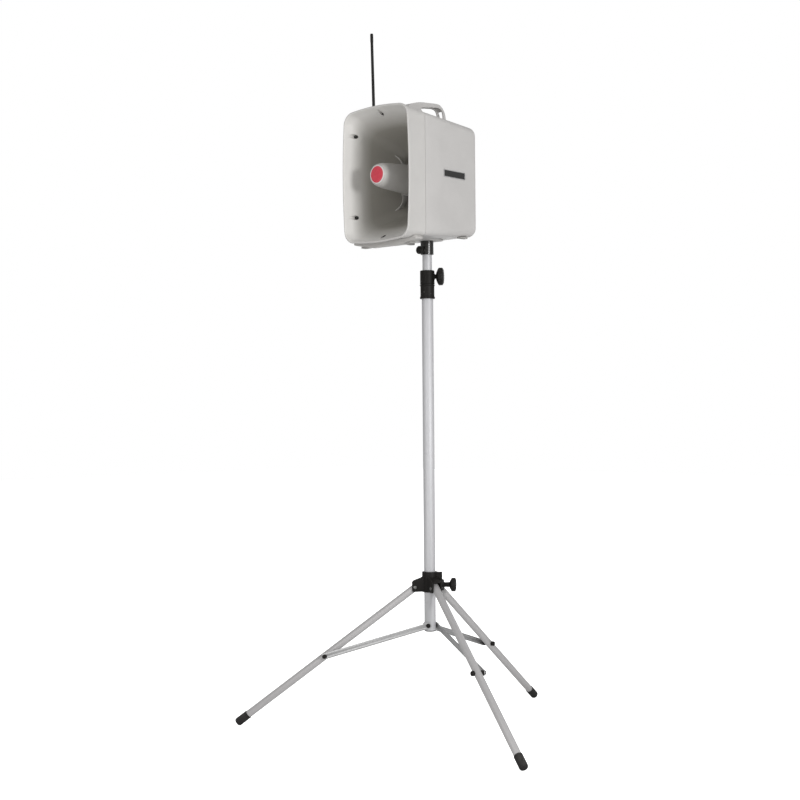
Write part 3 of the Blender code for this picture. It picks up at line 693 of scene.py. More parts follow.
def curve_through(points, cuts):
    """Points on a smooth curve through a row of points of any size."""
    ends = [points[0]] + list(points) + [points[-1]]
    result = []
    for i in range(1, len(ends) - 2):
        a, b, c, d = ends[i - 1], ends[i], ends[i + 1], ends[i + 2]
        for step in range(cuts):
            t = step / cuts
            result.append(
                tuple(
                    0.5 * (
                        2 * q + (r - p) * t + (2 * p - 5 * q + 4 * r - s) * t**2
                        + (3 * q - p - 3 * r + s) * t**3
                    )
                    for p, q, r, s in zip(a, b, c, d)
                )
            )
    return result + [tuple(points[-1])]


def arc(centre, radius, start, end, steps):
    """Points on an arc, angles in degrees."""
    angles = [math.radians(start + (end - start) * i / steps) for i in range(steps + 1)]
    return [(centre[0] + radius * math.cos(a), centre[1] + radius * math.sin(a)) for a in angles]


def round_box(half_w, half_h, corner, crown=0.0, steps=8, side_points=9):
    """A rounded rectangle about (0, 0) whose sides bow out by the crown at their middles."""
    points = []
    inner_w, inner_h = half_w - corner - crown, half_h - corner - crown
    for sx, sz, start in ((1, 1, 0), (-1, 1, 90), (-1, -1, 180), (1, -1, 270)):
        points += arc((sx * inner_w, sz * inner_h), corner, start, start + 90, steps)
        for i in range(1, side_points + 1):
            share = i / (side_points + 1)
            bow = crown * (1 - (2 * share - 1) ** 2)
            if sx == sz:
                points.append((sx * inner_w * (1 - 2 * share), sz * (half_h - crown + bow)))
            else:
                points.append((sx * (half_w - crown + bow), sz * inner_h * (1 - 2 * share)))
    return points

# The upright: post, collar and its knob, mast

post_low, post_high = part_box("lower_tube")
POST_R, POST_WALL = 15.0, 1.5
POST_BOTTOM, POST_TOP = post_low.z / MM, post_high.z / MM
post_profile = [
    (POST_R, POST_BOTTOM), (POST_R, POST_TOP), (POST_R - POST_WALL, POST_TOP),
    (POST_R - POST_WALL, POST_BOTTOM),
]
post = soften(spun("post", post_profile, 96, True), 0.35, 2)
plug_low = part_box("tube_plug")[0].z / MM
plug = spun(
    "post_plug",
    [(0, plug_low + 1.4), (9.0, plug_low + 1.4), (9.8, plug_low + 0.6), (11.0, plug_low), (13.6, plug_low),
     (14.8, plug_low + 0.9), (14.8, POST_BOTTOM - 0.3), (13.2, POST_BOTTOM - 0.3),
     (13.2, POST_BOTTOM + 32), (0, POST_BOTTOM + 32)],
)
collar_low, collar_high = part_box("top_collar")
COLLAR_BOTTOM, COLLAR_TOP = collar_low.z / MM, collar_high.z / MM
COLLAR_SPLIT = COLLAR_BOTTOM + 36.5
MAST_R, MAST_WALL = 12.5, 1.4
INNER_STEP = POST_TOP + 0.3
collar_outer = [
    (15.3, COLLAR_BOTTOM), (19.0, COLLAR_BOTTOM), (19.6, COLLAR_BOTTOM + 0.6),
    (19.6, COLLAR_BOTTOM + 4.6),
    (18.3, COLLAR_BOTTOM + 6.0), (18.3, COLLAR_SPLIT - 3.4), (19.7, COLLAR_SPLIT - 2.2),
    (19.8, COLLAR_SPLIT - 0.3),
    (17.3, COLLAR_SPLIT), (17.3, COLLAR_SPLIT + 1.4), (19.4, COLLAR_SPLIT + 1.8),
    (18.9, COLLAR_SPLIT + 4.0),
    (18.9, COLLAR_TOP - 2.2), (18.5, COLLAR_TOP - 0.9), (17.4, COLLAR_TOP), (12.8, COLLAR_TOP),
    (12.8, INNER_STEP), (15.3, INNER_STEP),
]
collar = spun("collar", collar_outer, 96, True)
clamp = Vector(JOINTS["collar_knob_turn"]["pos_m"])
clamp_axis = Vector(JOINTS["collar_knob_turn"]["axis"])
clamp_centre = Vector((POLE.x, POLE.y, clamp.z))
boss = soften(rod("boss", 8.0, 15.6, 20.3, 48), 0.6, 2)
seat(boss, at(clamp_centre, clamp_axis))
on_pole(collar)
carve(collar, boss, operation="UNION")
bore = seat(rod("bore", 3.8, 5, 30), at(clamp_centre, clamp_axis))
carve(collar, bore)
install(on_pole(post), POST, "column", ["lower_tube"])
install(on_pole(plug), BLACK, "column", ["tube_plug"])
install(collar, BLACK, "column", ["top_collar"])
VIEW_SIDE = math.atan2(-math.cos(VIEW_TURN), math.sin(VIEW_TURN))
for index, (turn, height) in enumerate(((0.45, 12.0), (-0.5, 17.0), (2.6, 12.0), (-2.4, 17.0))):
    angle = VIEW_SIDE + turn
    outward = Vector((math.cos(angle), math.sin(angle), 0))
    dimple = spun(
        "collar_screw", [(0, 18.35), (2.1, 18.35), (2.1, 18.9), (1.5, 19.5), (0.7, 19.2), (0, 19.2)],
        32,
    )
    seat(dimple, at(POLE + UP * (COLLAR_BOTTOM + height) * MM, outward))
    dimple.name = f"collar_screw_{index}"
    install(dimple, SCREW, "column")


def clamp_knob(name, tip, start, neck, head_start, head_end, radius, lobes):
    """A moulded knob on a steel screw: neck, coned inner face, scalloped rim, domed outer face."""
    tall = head_end - head_start
    profile = [
        (0, start), (neck, start), (neck + 0.4, head_start), (radius * 0.62, head_start + tall * 0.13),
        (radius * 0.9, head_start + tall * 0.28), (radius, head_start + tall * 0.38),
        (radius, head_end - tall * 0.24),
        (radius * 0.95, head_end - tall * 0.15), (radius * 0.74, head_end - tall * 0.05),
        (radius * 0.4, head_end - 0.3), (0, head_end),
    ]
    knob = spun(name, curve_through(profile[:2], 1) + profile[2:], 96)
    if lobes:
        tools = []
        for i in range(lobes):
            turn = 2 * math.pi * i / lobes
            spot = Vector((math.cos(turn), math.sin(turn), 0)) * (radius + 1.6) * MM
            flute = rod("flute", 2.6, head_start - 3, head_end + 3, 20)
            tools.append(seat(flute, Matrix.Translation(spot)))
        carve(knob, join("flutes", tools))
    soften(knob, 0.5, 2, 38)
    thread = []
    steps = int((start - tip - 1.5) / 0.8)
    for i in range(steps):
        thread += [(2.7, tip + 1.2 + 0.8 * i), (3.2, tip + 1.6 + 0.8 * i)]
    screw = spun(
        name + "_screw",
        [(0, tip), (2.0, tip), (2.7, tip + 0.8)] + thread + [(2.7, start - 0.05), (0, start - 0.05)],
        40,
    )
    return knob, screw


def fit_knob(name, joint, body, centre, sizes, lobes, node):
    knob, screw = clamp_knob(name, *sizes, lobes)
    axis = Vector(JOINTS[joint]["axis"])
    install(seat(knob, at(centre, axis, UP)), KNOB_BLACK, body, [node], 28)
    install(seat(screw, at(centre, axis, UP)), SCREW, body)


fit_knob(
    "clamp_knob", "collar_knob_turn", "collar_knob", clamp_centre, (13.0, 20.7, 5.4, 22.6, 44.2, 23.0),
    12, "collar_knob",
)

mast_low, mast_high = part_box("upper_tube")
mast_profile = [
    (MAST_R, mast_low.z / MM), (MAST_R, mast_high.z / MM), (MAST_R - MAST_WALL, mast_high.z / MM),
    (MAST_R - MAST_WALL, mast_low.z / MM),
]
mast = soften(spun("mast_pipe", mast_profile, 96, True), 0.35, 2)
install(on_pole(mast), MAST, "mast", ["upper_tube"])
bush_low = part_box("mast_bush")[0].z / MM
bush_profile = [
    (0, bush_low), (12.6, bush_low), (13.25, bush_low + 0.8), (13.25, bush_low + 4),
    (12.9, bush_low + 4.6), (12.9, bush_low + 9),
    (13.25, bush_low + 9.6), (13.25, mast_low.z / MM - 0.3), (10.8, mast_low.z / MM - 0.3),
    (10.8, bush_low + 38), (0, bush_low + 38),
]
install(on_pole(spun("mast_guide", bush_profile)), BLACK, "mast", ["mast_bush"])

# The hub: a bored body with three pairs of ears, webs and a knob boss

HUB_KNOB_AXIS = Vector(JOINTS["hub_knob_turn"]["axis"])
hub_low, hub_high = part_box("hub")
HUB_BOTTOM, HUB_TOP = hub_low.z / MM, hub_high.z / MM
hub_centre = Vector((POLE.x, POLE.y, JOINTS["hub_knob_turn"]["pos_m"][2]))
LEG_R, LEG_WALL = 9.75, 1.2
EAR_IN, EAR_OUT = LEG_R + 0.45, LEG_R + 4.2
PIVOT_Z = JOINTS["leg_a_fold"]["pos_m"][2] / MM
legs = {}
for name in "abc":
    pivot = Vector(JOINTS[f"leg_{name}_fold"]["pos_m"])
    out = pivot - POLE
    legs[name] = math.atan2(out.y, out.x)
PIVOT_R = math.hypot(out.x, out.y) / MM

hub_body = soften(rod("hub_body", 20.2, HUB_BOTTOM, HUB_TOP, 96), 1.0, 3)
ear = [(13.0, 357.5), (39.5, 356.4)] + arc((40.2, 361.6), 5.2, -80, 0, 6)
ear += [(45.5, 372.0)] + arc((42.0, 381.5), 3.9, 0, 72, 6) + curve_through(
    [(38.0, 387.4), (28.0, 391.2), (20.0, 395.2), (13.0, 399.0)], 4,
)
ear_shape = soften(drawn("ear", ear, EAR_IN, EAR_OUT), 0.9, 3, 50)
web_points = [(13.0, 392.6), (16.8, 391.1), (29.0, 387.7), (41.5, 383.5), (44.8, 382.2)]
web_points += curve_through(
    [(44.7, 383.6), (38.0, 387.2), (28.0, 391.0), (20.0, 394.8), (13.0, 398.6)], 3,
)
web_shape = drawn("web", web_points, -EAR_IN - 1, EAR_IN + 1)
hub_shape = on_pole(hub_body)
for turn in legs.values():
    upright = Matrix.Translation(POLE) @ Matrix.Rotation(turn, 4, "Z") @ Matrix.Rotation(math.pi / 2, 4, "X")
    far_side = Matrix.Translation((0, 0, -(EAR_IN + EAR_OUT) * MM))
    ears = [
        seat(copy_of(ear_shape, "ear_near"), upright),
        seat(copy_of(ear_shape, "ear_far"), upright @ far_side),
    ]
    carve(hub_shape, *ears, seat(copy_of(web_shape, "web_one"), upright), operation="UNION")
boss_outline = (
    [(5.0, -8.5), (29.5, -8.5)] + arc((29.4, -5.5), 3.0, -90, 0, 4)
    + arc((29.4, 5.5), 3.0, 0, 90, 4) + [(29.5, 8.5), (5.0, 8.5)]
)
hub_boss = soften(drawn("hub_boss", boss_outline, 362.0, HUB_TOP - 1.0), 0.9, 3, 50)
seat(hub_boss, at(POLE, UP, HUB_KNOB_AXIS))
hub_neck = spun(
    "hub_neck", [(0, 28), (7.6, 28), (7.6, 34), (7.0, 35), (7.0, 38.9), (6.4, 39.5), (0, 39.5)], 48,
)
seat(hub_neck, at(hub_centre, HUB_KNOB_AXIS))
carve(hub_shape, hub_boss, hub_neck, operation="UNION")
hub_bore = on_pole(rod("hub_bore", 15.3, 340, 420, 96))
screw_bore = seat(rod("screw_bore", 3.8, 5, 45), at(hub_centre, HUB_KNOB_AXIS))
carve(hub_shape, hub_bore, screw_bore)
for name, turn in legs.items():
    pivot = Vector(JOINTS[f"leg_{name}_fold"]["pos_m"])
    across = Vector((-math.sin(turn), math.cos(turn), 0))
    eye = seat(rod("eye", 2.7, -25, 25), at(pivot, across))
    carve(hub_shape, eye)
bpy.data.objects.remove(ear_shape)
bpy.data.objects.remove(web_shape)
hub_shape.name = "hub_casting"
install(soften(hub_shape, 0.4, 2, 45), BLACK, "hub", ["hub"], 40)
fit_knob(
    "hub_clamp_knob", "hub_knob_turn", "hub_knob", hub_centre, (15.5, 39.9, 6.2, 51.2, 69.8, 18.0), 10,
    "hub_knob",
)

# Legs, feet, struts, pins and rivets: each modelled once and set three times

LEG_SPREAD = math.radians(JOINTS["leg_a_fold"]["range_deg"][1])
FOOT_HEIGHT = 7.9
LEG_LENGTH = (PIVOT_Z - FOOT_HEIGHT) / math.cos(LEG_SPREAD)
BRACE_SHARE = 0.504
BRACE_LATERAL, BRACE_THICK, BRACE_WIDTH = 15.4, 2.3, 15.6
PIN_R, HOLE_R = 2.4, 2.7
strut_pivot = Vector(JOINTS["strut_a_fold"]["pos_m"]) - POLE
STRUT_R, STRUT_Z = math.hypot(strut_pivot.x, strut_pivot.y) / MM, strut_pivot.z / MM
JOINT_R = PIVOT_R + BRACE_SHARE * LEG_LENGTH * math.sin(LEG_SPREAD)
JOINT_Z = PIVOT_Z - BRACE_SHARE * LEG_LENGTH * math.cos(LEG_SPREAD)
BRACE_LENGTH = math.hypot(JOINT_R - STRUT_R, JOINT_Z - STRUT_Z)
BRACE_TILT = math.atan2(JOINT_R - STRUT_R, JOINT_Z - STRUT_Z)
leg_profile = [
    (LEG_R, -LEG_LENGTH + 12), (LEG_R, 9.0), (LEG_R - LEG_WALL, 9.0),
    (LEG_R - LEG_WALL, -LEG_LENGTH + 12),
]
leg_shape = soften(spun("leg", leg_profile, 64, True), 0.3, 2)
across_hole = seat(rod("hole", HOLE_R, -20, 20), at((0, 0, 0), BACKWARD))
carve(leg_shape, across_hole)
leg_plug = spun(
    "leg_end",
    [(0, -14), (8.2, -14), (8.2, 9.3), (9.75, 9.3), (9.5, 10.4), (8.9, 11.5), (6.5, 13.0), (0, 13.1)],
    64,
)
plug_hole = seat(rod("hole", HOLE_R, -20, 20), at((0, 0, 0), BACKWARD))
carve(leg_plug, plug_hole)
end = -LEG_LENGTH
foot_profile = [
    (LEG_R + 0.3, end + 36.0), (10.7, end + 36.0), (11.1, end + 35.4), (11.1, end + 31.0),
    (10.7, end + 30.4), (10.7, end + 28.6),
    (11.1, end + 28.0), (11.1, end + 3.2), (10.7, end + 0.9), (9.6, end - 1.3), (7.6, end - 2.7),
    (5.0, end - 3.3), (0, end - 3.3),
    (0, end + 11.5), (LEG_R + 0.3, end + 11.5),
]
foot_shape = spun("foot_cap", foot_profile, 64)
rivet_shape = spun(
    "rivet",
    [(0, 9.2), (6.4, 9.2), (6.4, 15.5), (5.9, 16.6), (4.6, 17.6), (1.8, 18.4), (0, 18.5)][::-1], 40,
)
saddle = spun("saddle", [(0, -20), (LEG_R + 0.3, -20), (LEG_R + 0.3, 20), (0, 20)], 96)
carve(rivet_shape, seat(saddle, at((0, 0, 0), RIGHT)))
strut_outline = arc(
    (0, BRACE_LENGTH), BRACE_WIDTH / 2, 0, 180, 20,
) + arc((0, 0), BRACE_WIDTH / 2, 180, 360, 20)
strut_shape = drawn("strut_strip", strut_outline, -BRACE_THICK / 2, BRACE_THICK / 2)
for height in (0, BRACE_LENGTH):
    hole = rod("hole", HOLE_R, -5, 5)
    carve(strut_shape, seat(hole, Matrix.Translation((0, height * MM, 0))))
soften(strut_shape, 0.45, 2, 40)
FACE = BRACE_LATERAL + BRACE_THICK + 0.3
HEAD_POINTS = [
    (5.8, FACE), (5.8, FACE + 1.9), (5.3, FACE + 3.0), (4.2, FACE + 4.0), (2.0, FACE + 4.6),
    (0, FACE + 4.7),
]
far_rivet_shape = spun(
    "far_rivet",
    [
        (0, LEG_R + 0.4), (5.9, LEG_R + 0.4), (6.4, LEG_R + 0.9), (6.4, BRACE_LATERAL - 0.8),
        (5.9, BRACE_LATERAL - 0.3), (PIN_R, BRACE_LATERAL - 0.3), (PIN_R, FACE),
    ] + HEAD_POINTS,
    40,
)
bolt_shape = spun("bolt", [(0, 2.2), (PIN_R, 2.2), (PIN_R, FACE)] + HEAD_POINTS, 40)
face = EAR_OUT + 0.3
pin_half = [
    (PIN_R, face), (4.6, face), (4.6, face + 1.0), (4.1, face + 1.8), (2.5, face + 2.3),
    (0, face + 2.4),
]
pin_shape = spun("pin", [(r, -z) for r, z in pin_half[::-1]] + pin_half, 40)
for name, turn in legs.items():
    pivot = Vector(JOINTS[f"leg_{name}_fold"]["pos_m"])
    root = Vector(JOINTS[f"strut_{name}_fold"]["pos_m"])
    about = Matrix.Rotation(turn, 4, "Z")
    leg_place = Matrix.Translation(pivot) @ about @ Matrix.Rotation(-LEG_SPREAD, 4, "Y")
    strut_place = Matrix.Translation(root) @ about @ Matrix.Rotation(BRACE_TILT, 4, "Y")
    sideways = Matrix.Rotation(-math.pi / 2, 4, "X")
    leg_axis = (leg_place.to_3x3() @ UP).normalized()
    strut_axis = (strut_place.to_3x3() @ UP).normalized()
    leg_tube = seat(copy_of(leg_shape, f"leg_pipe_{name}"), leg_place)
    install(
        leg_tube,
        tube_finish(
            f"leg_tube_{name}", leg_axis, (0.54, 0.53, 0.53), roughness=0.55, marks=0.3, metal=0.35,
        ),
        f"leg_{name}", [f"leg_tube_{name}"],
    )
    install(
        seat(copy_of(leg_plug, f"leg_end_{name}"), leg_place), LEG_END, f"leg_{name}",
        [f"leg_plug_{name}"],
    )
    foot = seat(copy_of(foot_shape, f"foot_cap_{name}"), leg_place)
    carve(foot, block("ground", (1600, 1600, 60), (0, 0, -30)))
    install(foot, RUBBER, f"leg_{name}", [f"foot_{name}"])
    along = Matrix.Translation((0, 0, -BRACE_SHARE * LEG_LENGTH * MM))
    rivet = seat(
        copy_of(rivet_shape, f"rivet_{name}"), leg_place @ along @ Matrix.Rotation(math.pi / 2, 4, "X"),
    )
    install(rivet, BLACK, f"leg_{name}", [f"leg_rivet_{name}"])
    flat = Matrix.Translation(
        (0, (BRACE_LATERAL + BRACE_THICK / 2) * MM, 0)
    ) @ Matrix.Rotation(math.pi / 2, 4, "X")
    strip = seat(copy_of(strut_shape, f"strut_strip_{name}"), strut_place @ flat)
    install(
        strip,
        tube_finish(f"strut_strip_{name}", strut_axis, (0.5, 0.5, 0.5), roughness=0.42, marks=0.45),
        f"strut_{name}", [f"strut_{name}"],
    )
    far = Matrix.Translation((0, 0, BRACE_LENGTH * MM))
    install(
        seat(copy_of(far_rivet_shape, f"far_rivet_{name}"), strut_place @ far @ sideways), BLACK,
        f"strut_{name}", [f"strut_rivet_{name}"],
    )
    bolt = seat(copy_of(bolt_shape, f"bolt_{name}"), strut_place @ sideways)
    install(bolt, BLACK, "column", [f"bracket_bolt_{name}"])
    install(
        seat(copy_of(pin_shape, f"pin_{name}"), leg_place @ sideways), RIVET, "hub",
        [f"hub_pin_{name}"],
    )
for shape in (
    leg_shape, leg_plug, foot_shape, rivet_shape, strut_shape, far_rivet_shape, bolt_shape, pin_shape,
):
    bpy.data.objects.remove(shape)

# The loudspeaker head: everything here is drawn as (across, height) loops at distances forward of the post

HEAD_Z = middle("reflex_nose").z / MM
bell_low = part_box("horn_bell")[0]
box_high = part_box("rear_box")[1]
RIM_F = (POLE.y - bell_low.y) / MM
SEAM_F = (POLE.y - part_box("seam_gasket")[0].y) / MM + 0.3
REAR_F = (POLE.y - box_high.y) / MM
SEAM_HALF, SEAM_MID = (111.0, 156.0), 1424.0
REAR_HALF, REAR_MID = (106.0, 143.0), 1424.5
SHELL_WALL, SHELL_CORNER = 3.2, 13.0
SEAM_GAP = 0.7


def station(forward, half, corner, crown=0.0, mid=HEAD_Z, steps=8, side_points=9):
    """One rounded loop round the head at a distance forward of the post."""
    x0, y0 = POLE.x / MM, POLE.y / MM
    return [
        (x0 + x, y0 - forward, mid + z)
        for x, z in round_box(half[0], half[1], corner, crown, steps, side_points)
    ]


def stations(rows):
    return [station(forward, (w, h), corner, crown, mid) for forward, w, h, corner, crown, mid in rows]


# Rows are: forward, half width, half height, corner, crown, middle height
bell_outside = [
    (SEAM_F + 0.8, SEAM_HALF[0], SEAM_HALF[1], SHELL_CORNER, 0.0, SEAM_MID),
    (SEAM_F + 10.0, 111.4, 158.2, 17.0, 0.4, 1424.4),
    (SEAM_F + 22.0, 112.0, 161.0, 22.0, 1.0, 1425.0),
    (SEAM_F + 38.0, 113.4, 166.4, 27.0, 2.6, 1425.9),
    (RIM_F - 14.0, 115.0, 170.8, 31.0, 4.0, HEAD_Z),
    (RIM_F - 7.0, 116.0, 172.6, 33.0, 4.4, HEAD_Z),
]
bell_outside = curve_through(bell_outside, 2)
bell_outside.insert(0, (SEAM_F, SEAM_HALF[0] - 0.7, SEAM_HALF[1] - 0.7, SHELL_CORNER, 0.0, SEAM_MID))
bell_lip = [
    (RIM_F - 2.4, 116.3, 173.3, 34.0, 4.5, HEAD_Z),
    (RIM_F - 1.0, 116.0, 173.0, 33.8, 4.5, HEAD_Z),
    (RIM_F - 0.3, 115.4, 172.4, 33.2, 4.5, HEAD_Z),
    (RIM_F, 114.8, 171.8, 32.6, 4.5, HEAD_Z),
    (RIM_F, 113.6, 170.6, 31.8, 4.5, HEAD_Z),
    (RIM_F - 0.4, 112.8, 169.8, 31.2, 4.5, HEAD_Z),
    (RIM_F - 1.6, 111.9, 168.8, 30.6, 4.5, HEAD_Z),
]
bell_inside = curve_through(
    [
        (RIM_F - 4.0, 110.8, 167.5, 30.0, 4.5, HEAD_Z),
        (RIM_F - 18.0, 106.0, 161.0, 30.0, 4.5, HEAD_Z),
        (RIM_F - 38.0, 99.0, 150.0, 32.0, 5.0, HEAD_Z),
        (RIM_F - 70.0, 86.0, 129.0, 30.0, 4.0, HEAD_Z),
        (60.0, 66.0, 100.0, 28.0, 3.0, HEAD_Z),
        (26.0, 54.6, 81.0, 26.0, 2.0, HEAD_Z),
    ],
    3,
)
bell_back = [
    (14.0, 54.0, 80.0, 26.0, 2.0, HEAD_Z),
    (14.0, 60.0, 86.0, 28.0, 2.0, HEAD_Z),
    (60.0, 70.5, 104.0, 29.0, 3.0, HEAD_Z),
    (RIM_F - 70.0, 90.0, 133.0, 31.0, 4.0, HEAD_Z),
    (RIM_F - 50.0, 97.5, 144.5, 32.0, 4.0, HEAD_Z),
    (RIM_F - 50.0, 106.5, 153.5, 22.0, 1.5, 1425.0),
    (SEAM_F, 107.0, 152.0, 12.0, 0.0, SEAM_MID),
]
bell = lofted("bell", stations(bell_outside + bell_lip + bell_inside + bell_back), True)
SCREW_SPOTS = ((0, 158.5), (0, -156.5), (99.5, 112.0), (99.5, -98.0), (-99.5, 112.0), (-99.5, -98.0))
SCREW_SEAT = RIM_F - 38.0
pan_head = [
    (0, SCREW_SEAT + 0.1), (4.4, SCREW_SEAT + 0.1), (4.4, SCREW_SEAT + 5.4), (3.9, SCREW_SEAT + 6.4),
    (2.6, SCREW_SEAT + 6.9), (0, SCREW_SEAT + 7.0),
]
for index, (x, z) in enumerate(SCREW_SPOTS):
    spot = POLE + Vector((x * MM, 0, (HEAD_Z + z) * MM))
    pocket = spun(
        "pocket",
        [(0, SCREW_SEAT), (5.0, SCREW_SEAT), (5.5, SCREW_SEAT + 3), (5.5, RIM_F - 1), (0, RIM_F - 1)],
        40,
    )
    carve(bell, seat(pocket, at(spot, FORWARD)))
    screw = spun(f"bell_screw_{index}", pan_head, 36)
    for turn in (0.3, 0.3 + math.pi / 2):
        slot = block("slot", (5.2, 1.0, 3.0), (0, 0, SCREW_SEAT + 6.9))
        carve(screw, seat(slot, Matrix.Rotation(turn, 4, "Z")))
    install(seat(screw, at(spot, FORWARD)), SCREW, "head")
install(bell, FRONT_SHELL, "head", ["horn_bell"], 30)
# Faces turned towards the horn's axis take the throat material with its painted shade
bell.data.materials.append(THROAT_PAINTED_SHADE)
for face in bell.data.polygons:
    from_axis = Vector((face.center.x - POLE.x, 0, face.center.z - HEAD_Z * MM))
    if face.normal.dot(from_axis.normalized()) < -0.05:
        face.material_index = 1


def box_side(forward, inset=0.0):
    """Half width, half height and middle of the rear box at a distance forward of the post."""
    share = (SEAM_F - forward) / (SEAM_F - REAR_F)
    half = SEAM_HALF[0] + share * (REAR_HALF[0] - SEAM_HALF[0])
    tall = SEAM_HALF[1] + share * (REAR_HALF[1] - SEAM_HALF[1])
    return half - inset, tall - inset, SEAM_MID + share * (REAR_MID - SEAM_MID)


REAR_CORNER_GAIN = 8.0


def box_row(forward, inset):
    half, tall, mid = box_side(forward, inset)
    share = (SEAM_F - forward) / (SEAM_F - REAR_F)
    return forward, half, tall, max(SHELL_CORNER + REAR_CORNER_GAIN * share - inset, 3.0), 0.0, mid


def end_row(forward, narrower, lower):
    """A row near the rear edge, drawn in by one amount at the sides and another above and below."""
    half, tall, mid = box_side(forward)
    return forward, half - narrower, tall - lower, SHELL_CORNER + REAR_CORNER_GAIN - lower * 0.5, 0.0, mid


def box_top(forward):
    half, tall, mid = box_side(forward)
    return mid + tall


box_front = SEAM_F - SEAM_GAP
REAR_ROUND, SIDE_DRAW, TOP_DRAW = 11.0, 0.22, 0.6
box_rows = [
    box_row(box_front, 1.0), box_row(box_front - 0.3, 0.4), box_row(box_front - 1.2, 0.0),
    box_row(60.0, 0.0), box_row(0.0, 0.0),
]
for step in range(8):
    turn = math.radians(90 * step / 7)
    drawn_in = REAR_ROUND * (1 - math.cos(turn))
    box_rows.append(
        end_row(REAR_F + REAR_ROUND * (1 - math.sin(turn)), drawn_in * SIDE_DRAW, drawn_in * TOP_DRAW)
    )
box_rows += [
    end_row(REAR_F, 4.2, 8.2), end_row(REAR_F + 8, 4.0, 7.6), box_row(-40.0, SHELL_WALL + 0.4),
    box_row(60.0, SHELL_WALL), box_row(box_front, SHELL_WALL),
]
case = lofted("case", stations(box_rows), True)
floor_z = box_side(0)[2] - box_side(0)[1]
plinth = soften(
    drawn("plinth", round_box(32, 32, 8, 0, 8, 1), floor_z - 3.5, floor_z + 1.5), 0.8, 3, 50,
)
carve(case, on_pole(plinth), operation="UNION")
socket_hole = rod("socket_hole", 17.3, 1240, 1300, 96)
carve(case, on_pole(socket_hole))
install(case, SHELL, "head", ["rear_box"], 30)

# Handle: a grooved loop drawn from the side, with its ends swept into the shell


def side_on(points):
    """(forward, height) points of a side view as (x, y) of a drawing that is then stood up facing across."""
    return [(-forward, height) for forward, height in points]


STAND_UP = (
    Matrix.Translation(POLE) @ Matrix.Rotation(math.pi / 2, 4, "Z") @ Matrix.Rotation(math.pi / 2, 4, "X")
)
handle_top = curve_through(
    [
        (104, box_top(104) + 0.3), (96, box_top(96) + 5), (91.5, 1597), (84, 1611), (72, 1621.5),
        (48, 1629.2), (28, 1632.4), (-2, 1635),
        (-34, 1636.8), (-45, 1633.8), (-55, 1627), (-62, 1617), (-66, 1604), (-67.5, 1590),
        (-68, box_top(-68) + 0.3),
    ],
    3,
)
handle_grip = curve_through(
    [
        (-57.3, box_top(-57) + 0.3), (-57, 1592), (-56.2, 1608), (-53.5, 1618), (-47.5, 1624.4),
        (-38, 1626.6), (-26, 1626.4), (8, 1622.2),
        (24, 1619.2), (31, 1616.5), (31.8, 1613.2), (27, 1608.5), (20.5, 1602.5), (16, 1592),
        (14.5, box_top(14.5) + 0.3),
    ],
    3,
)
handle = drawn("handle", side_on(handle_top + handle_grip), -12.0, 12.0)
seat(handle, STAND_UP)
groove_points = [
    (112, 1550), (112, 1590), (84, 1602), (60, 1620), (28, 1627.5), (-2, 1630.5), (-34, 1632),
    (-44, 1628.8), (-54, 1621), (-90, 1621), (-90, 1550),
]
groove = seat(drawn("groove", side_on(groove_points), -8.0, 8.0), STAND_UP)
carve(handle, groove)
soften(handle, 1.3, 3, 55)
install(handle, SHELL, "head", ["carry_handle"], 40)

# Nose with its badge, the spider behind it and the reflex tube

nose_centre = POLE + UP * HEAD_Z * MM
facing = at(nose_centre, FORWARD)
nose_curve = curve_through(
    [(38.6, 62), (37.6, 80), (36.4, 100), (35.2, 120), (34.0, 140), (32.6, 158), (31.2, 171),
     (29.4, 179.5), (27.6, 184.5)],
    3
)
nose_front = [(26.6, 186.6), (25.6, 188.0), (24.8, 188.6), (24.1, 188.2), (24.0, 186.8)]
nose_within = [
    (0, 186.8), (0, 180.0), (25.0, 178.0), (29.0, 168.0), (31.6, 140.0), (34.0, 100.0), (36.0, 62.0),
    (36.6, 61.4), (38.2, 61.4),
]
nose = spun("nose", nose_curve + nose_front + nose_within + [nose_curve[0]], 96)
install(seat(nose, facing), HORN, "head", ["reflex_nose"], 40)
badge_profile = [
    (0, 187.1), (23.6, 187.1), (23.6, 188.9), (23.2, 189.4), (21.4, 189.7), (21.2, 189.5),
    (20.9, 189.8), (16, 190.2), (8, 190.7), (0, 190.8),
]
install(seat(spun("badge", badge_profile, 96), facing), BADGE, "head", ["nose_badge"], 40)
tube_curve = curve_through([(14.0, 10.0), (15.5, 60.0), (19.0, 110.0), (24.0, 152.0)], 5)
tube_profile = tube_curve + [(22.5, 152.0), (17.4, 110.0), (13.8, 60.0), (12.2, 10.0)]
install(
    seat(spun("reflex_tube", tube_profile, 72, True), facing), HORN, "head",
    ["inner_tube"], 40,
)
spider_ring = [(38.95, 60.5), (40.5, 60.5), (40.9, 61.0), (40.9, 68.5), (39.6, 70.5), (38.95, 70.5)]
spider = spun("spider", spider_ring, 96, True)
fin_front = curve_through(
    [(39.9, 70.2), (44, 66.5), (52, 58), (62, 51), (74, 47.5), (86, 50), (97, 57.5), (112, 64)], 4,
)
fin = [(39.9, 60.8)] + fin_front + [(112, 44), (80, 34), (60, 34), (45, 45)]
FIN_TURN = 50
for turn in (FIN_TURN, 180 - FIN_TURN, 180 + FIN_TURN, -FIN_TURN):
    arm = drawn("arm", fin, -1.0, 1.0)
    quarter = Matrix.Rotation(math.radians(turn), 4, "Z") @ Matrix.Rotation(math.pi / 2, 4, "X")
    carve(spider, seat(soften(arm, 0.4, 2, 50), quarter), operation="UNION")
seat(spider, facing)
room_rows = [
    (f, w - 0.5, h - 0.5, corner, crown, mid)
    for f, w, h, corner, crown, mid in bell_inside[6:] + [(14.0, 54.0, 80.0, 26.0, 2.0, HEAD_Z)]
]
carve(spider, lofted("throat_room", stations(room_rows)), operation="INTERSECT")
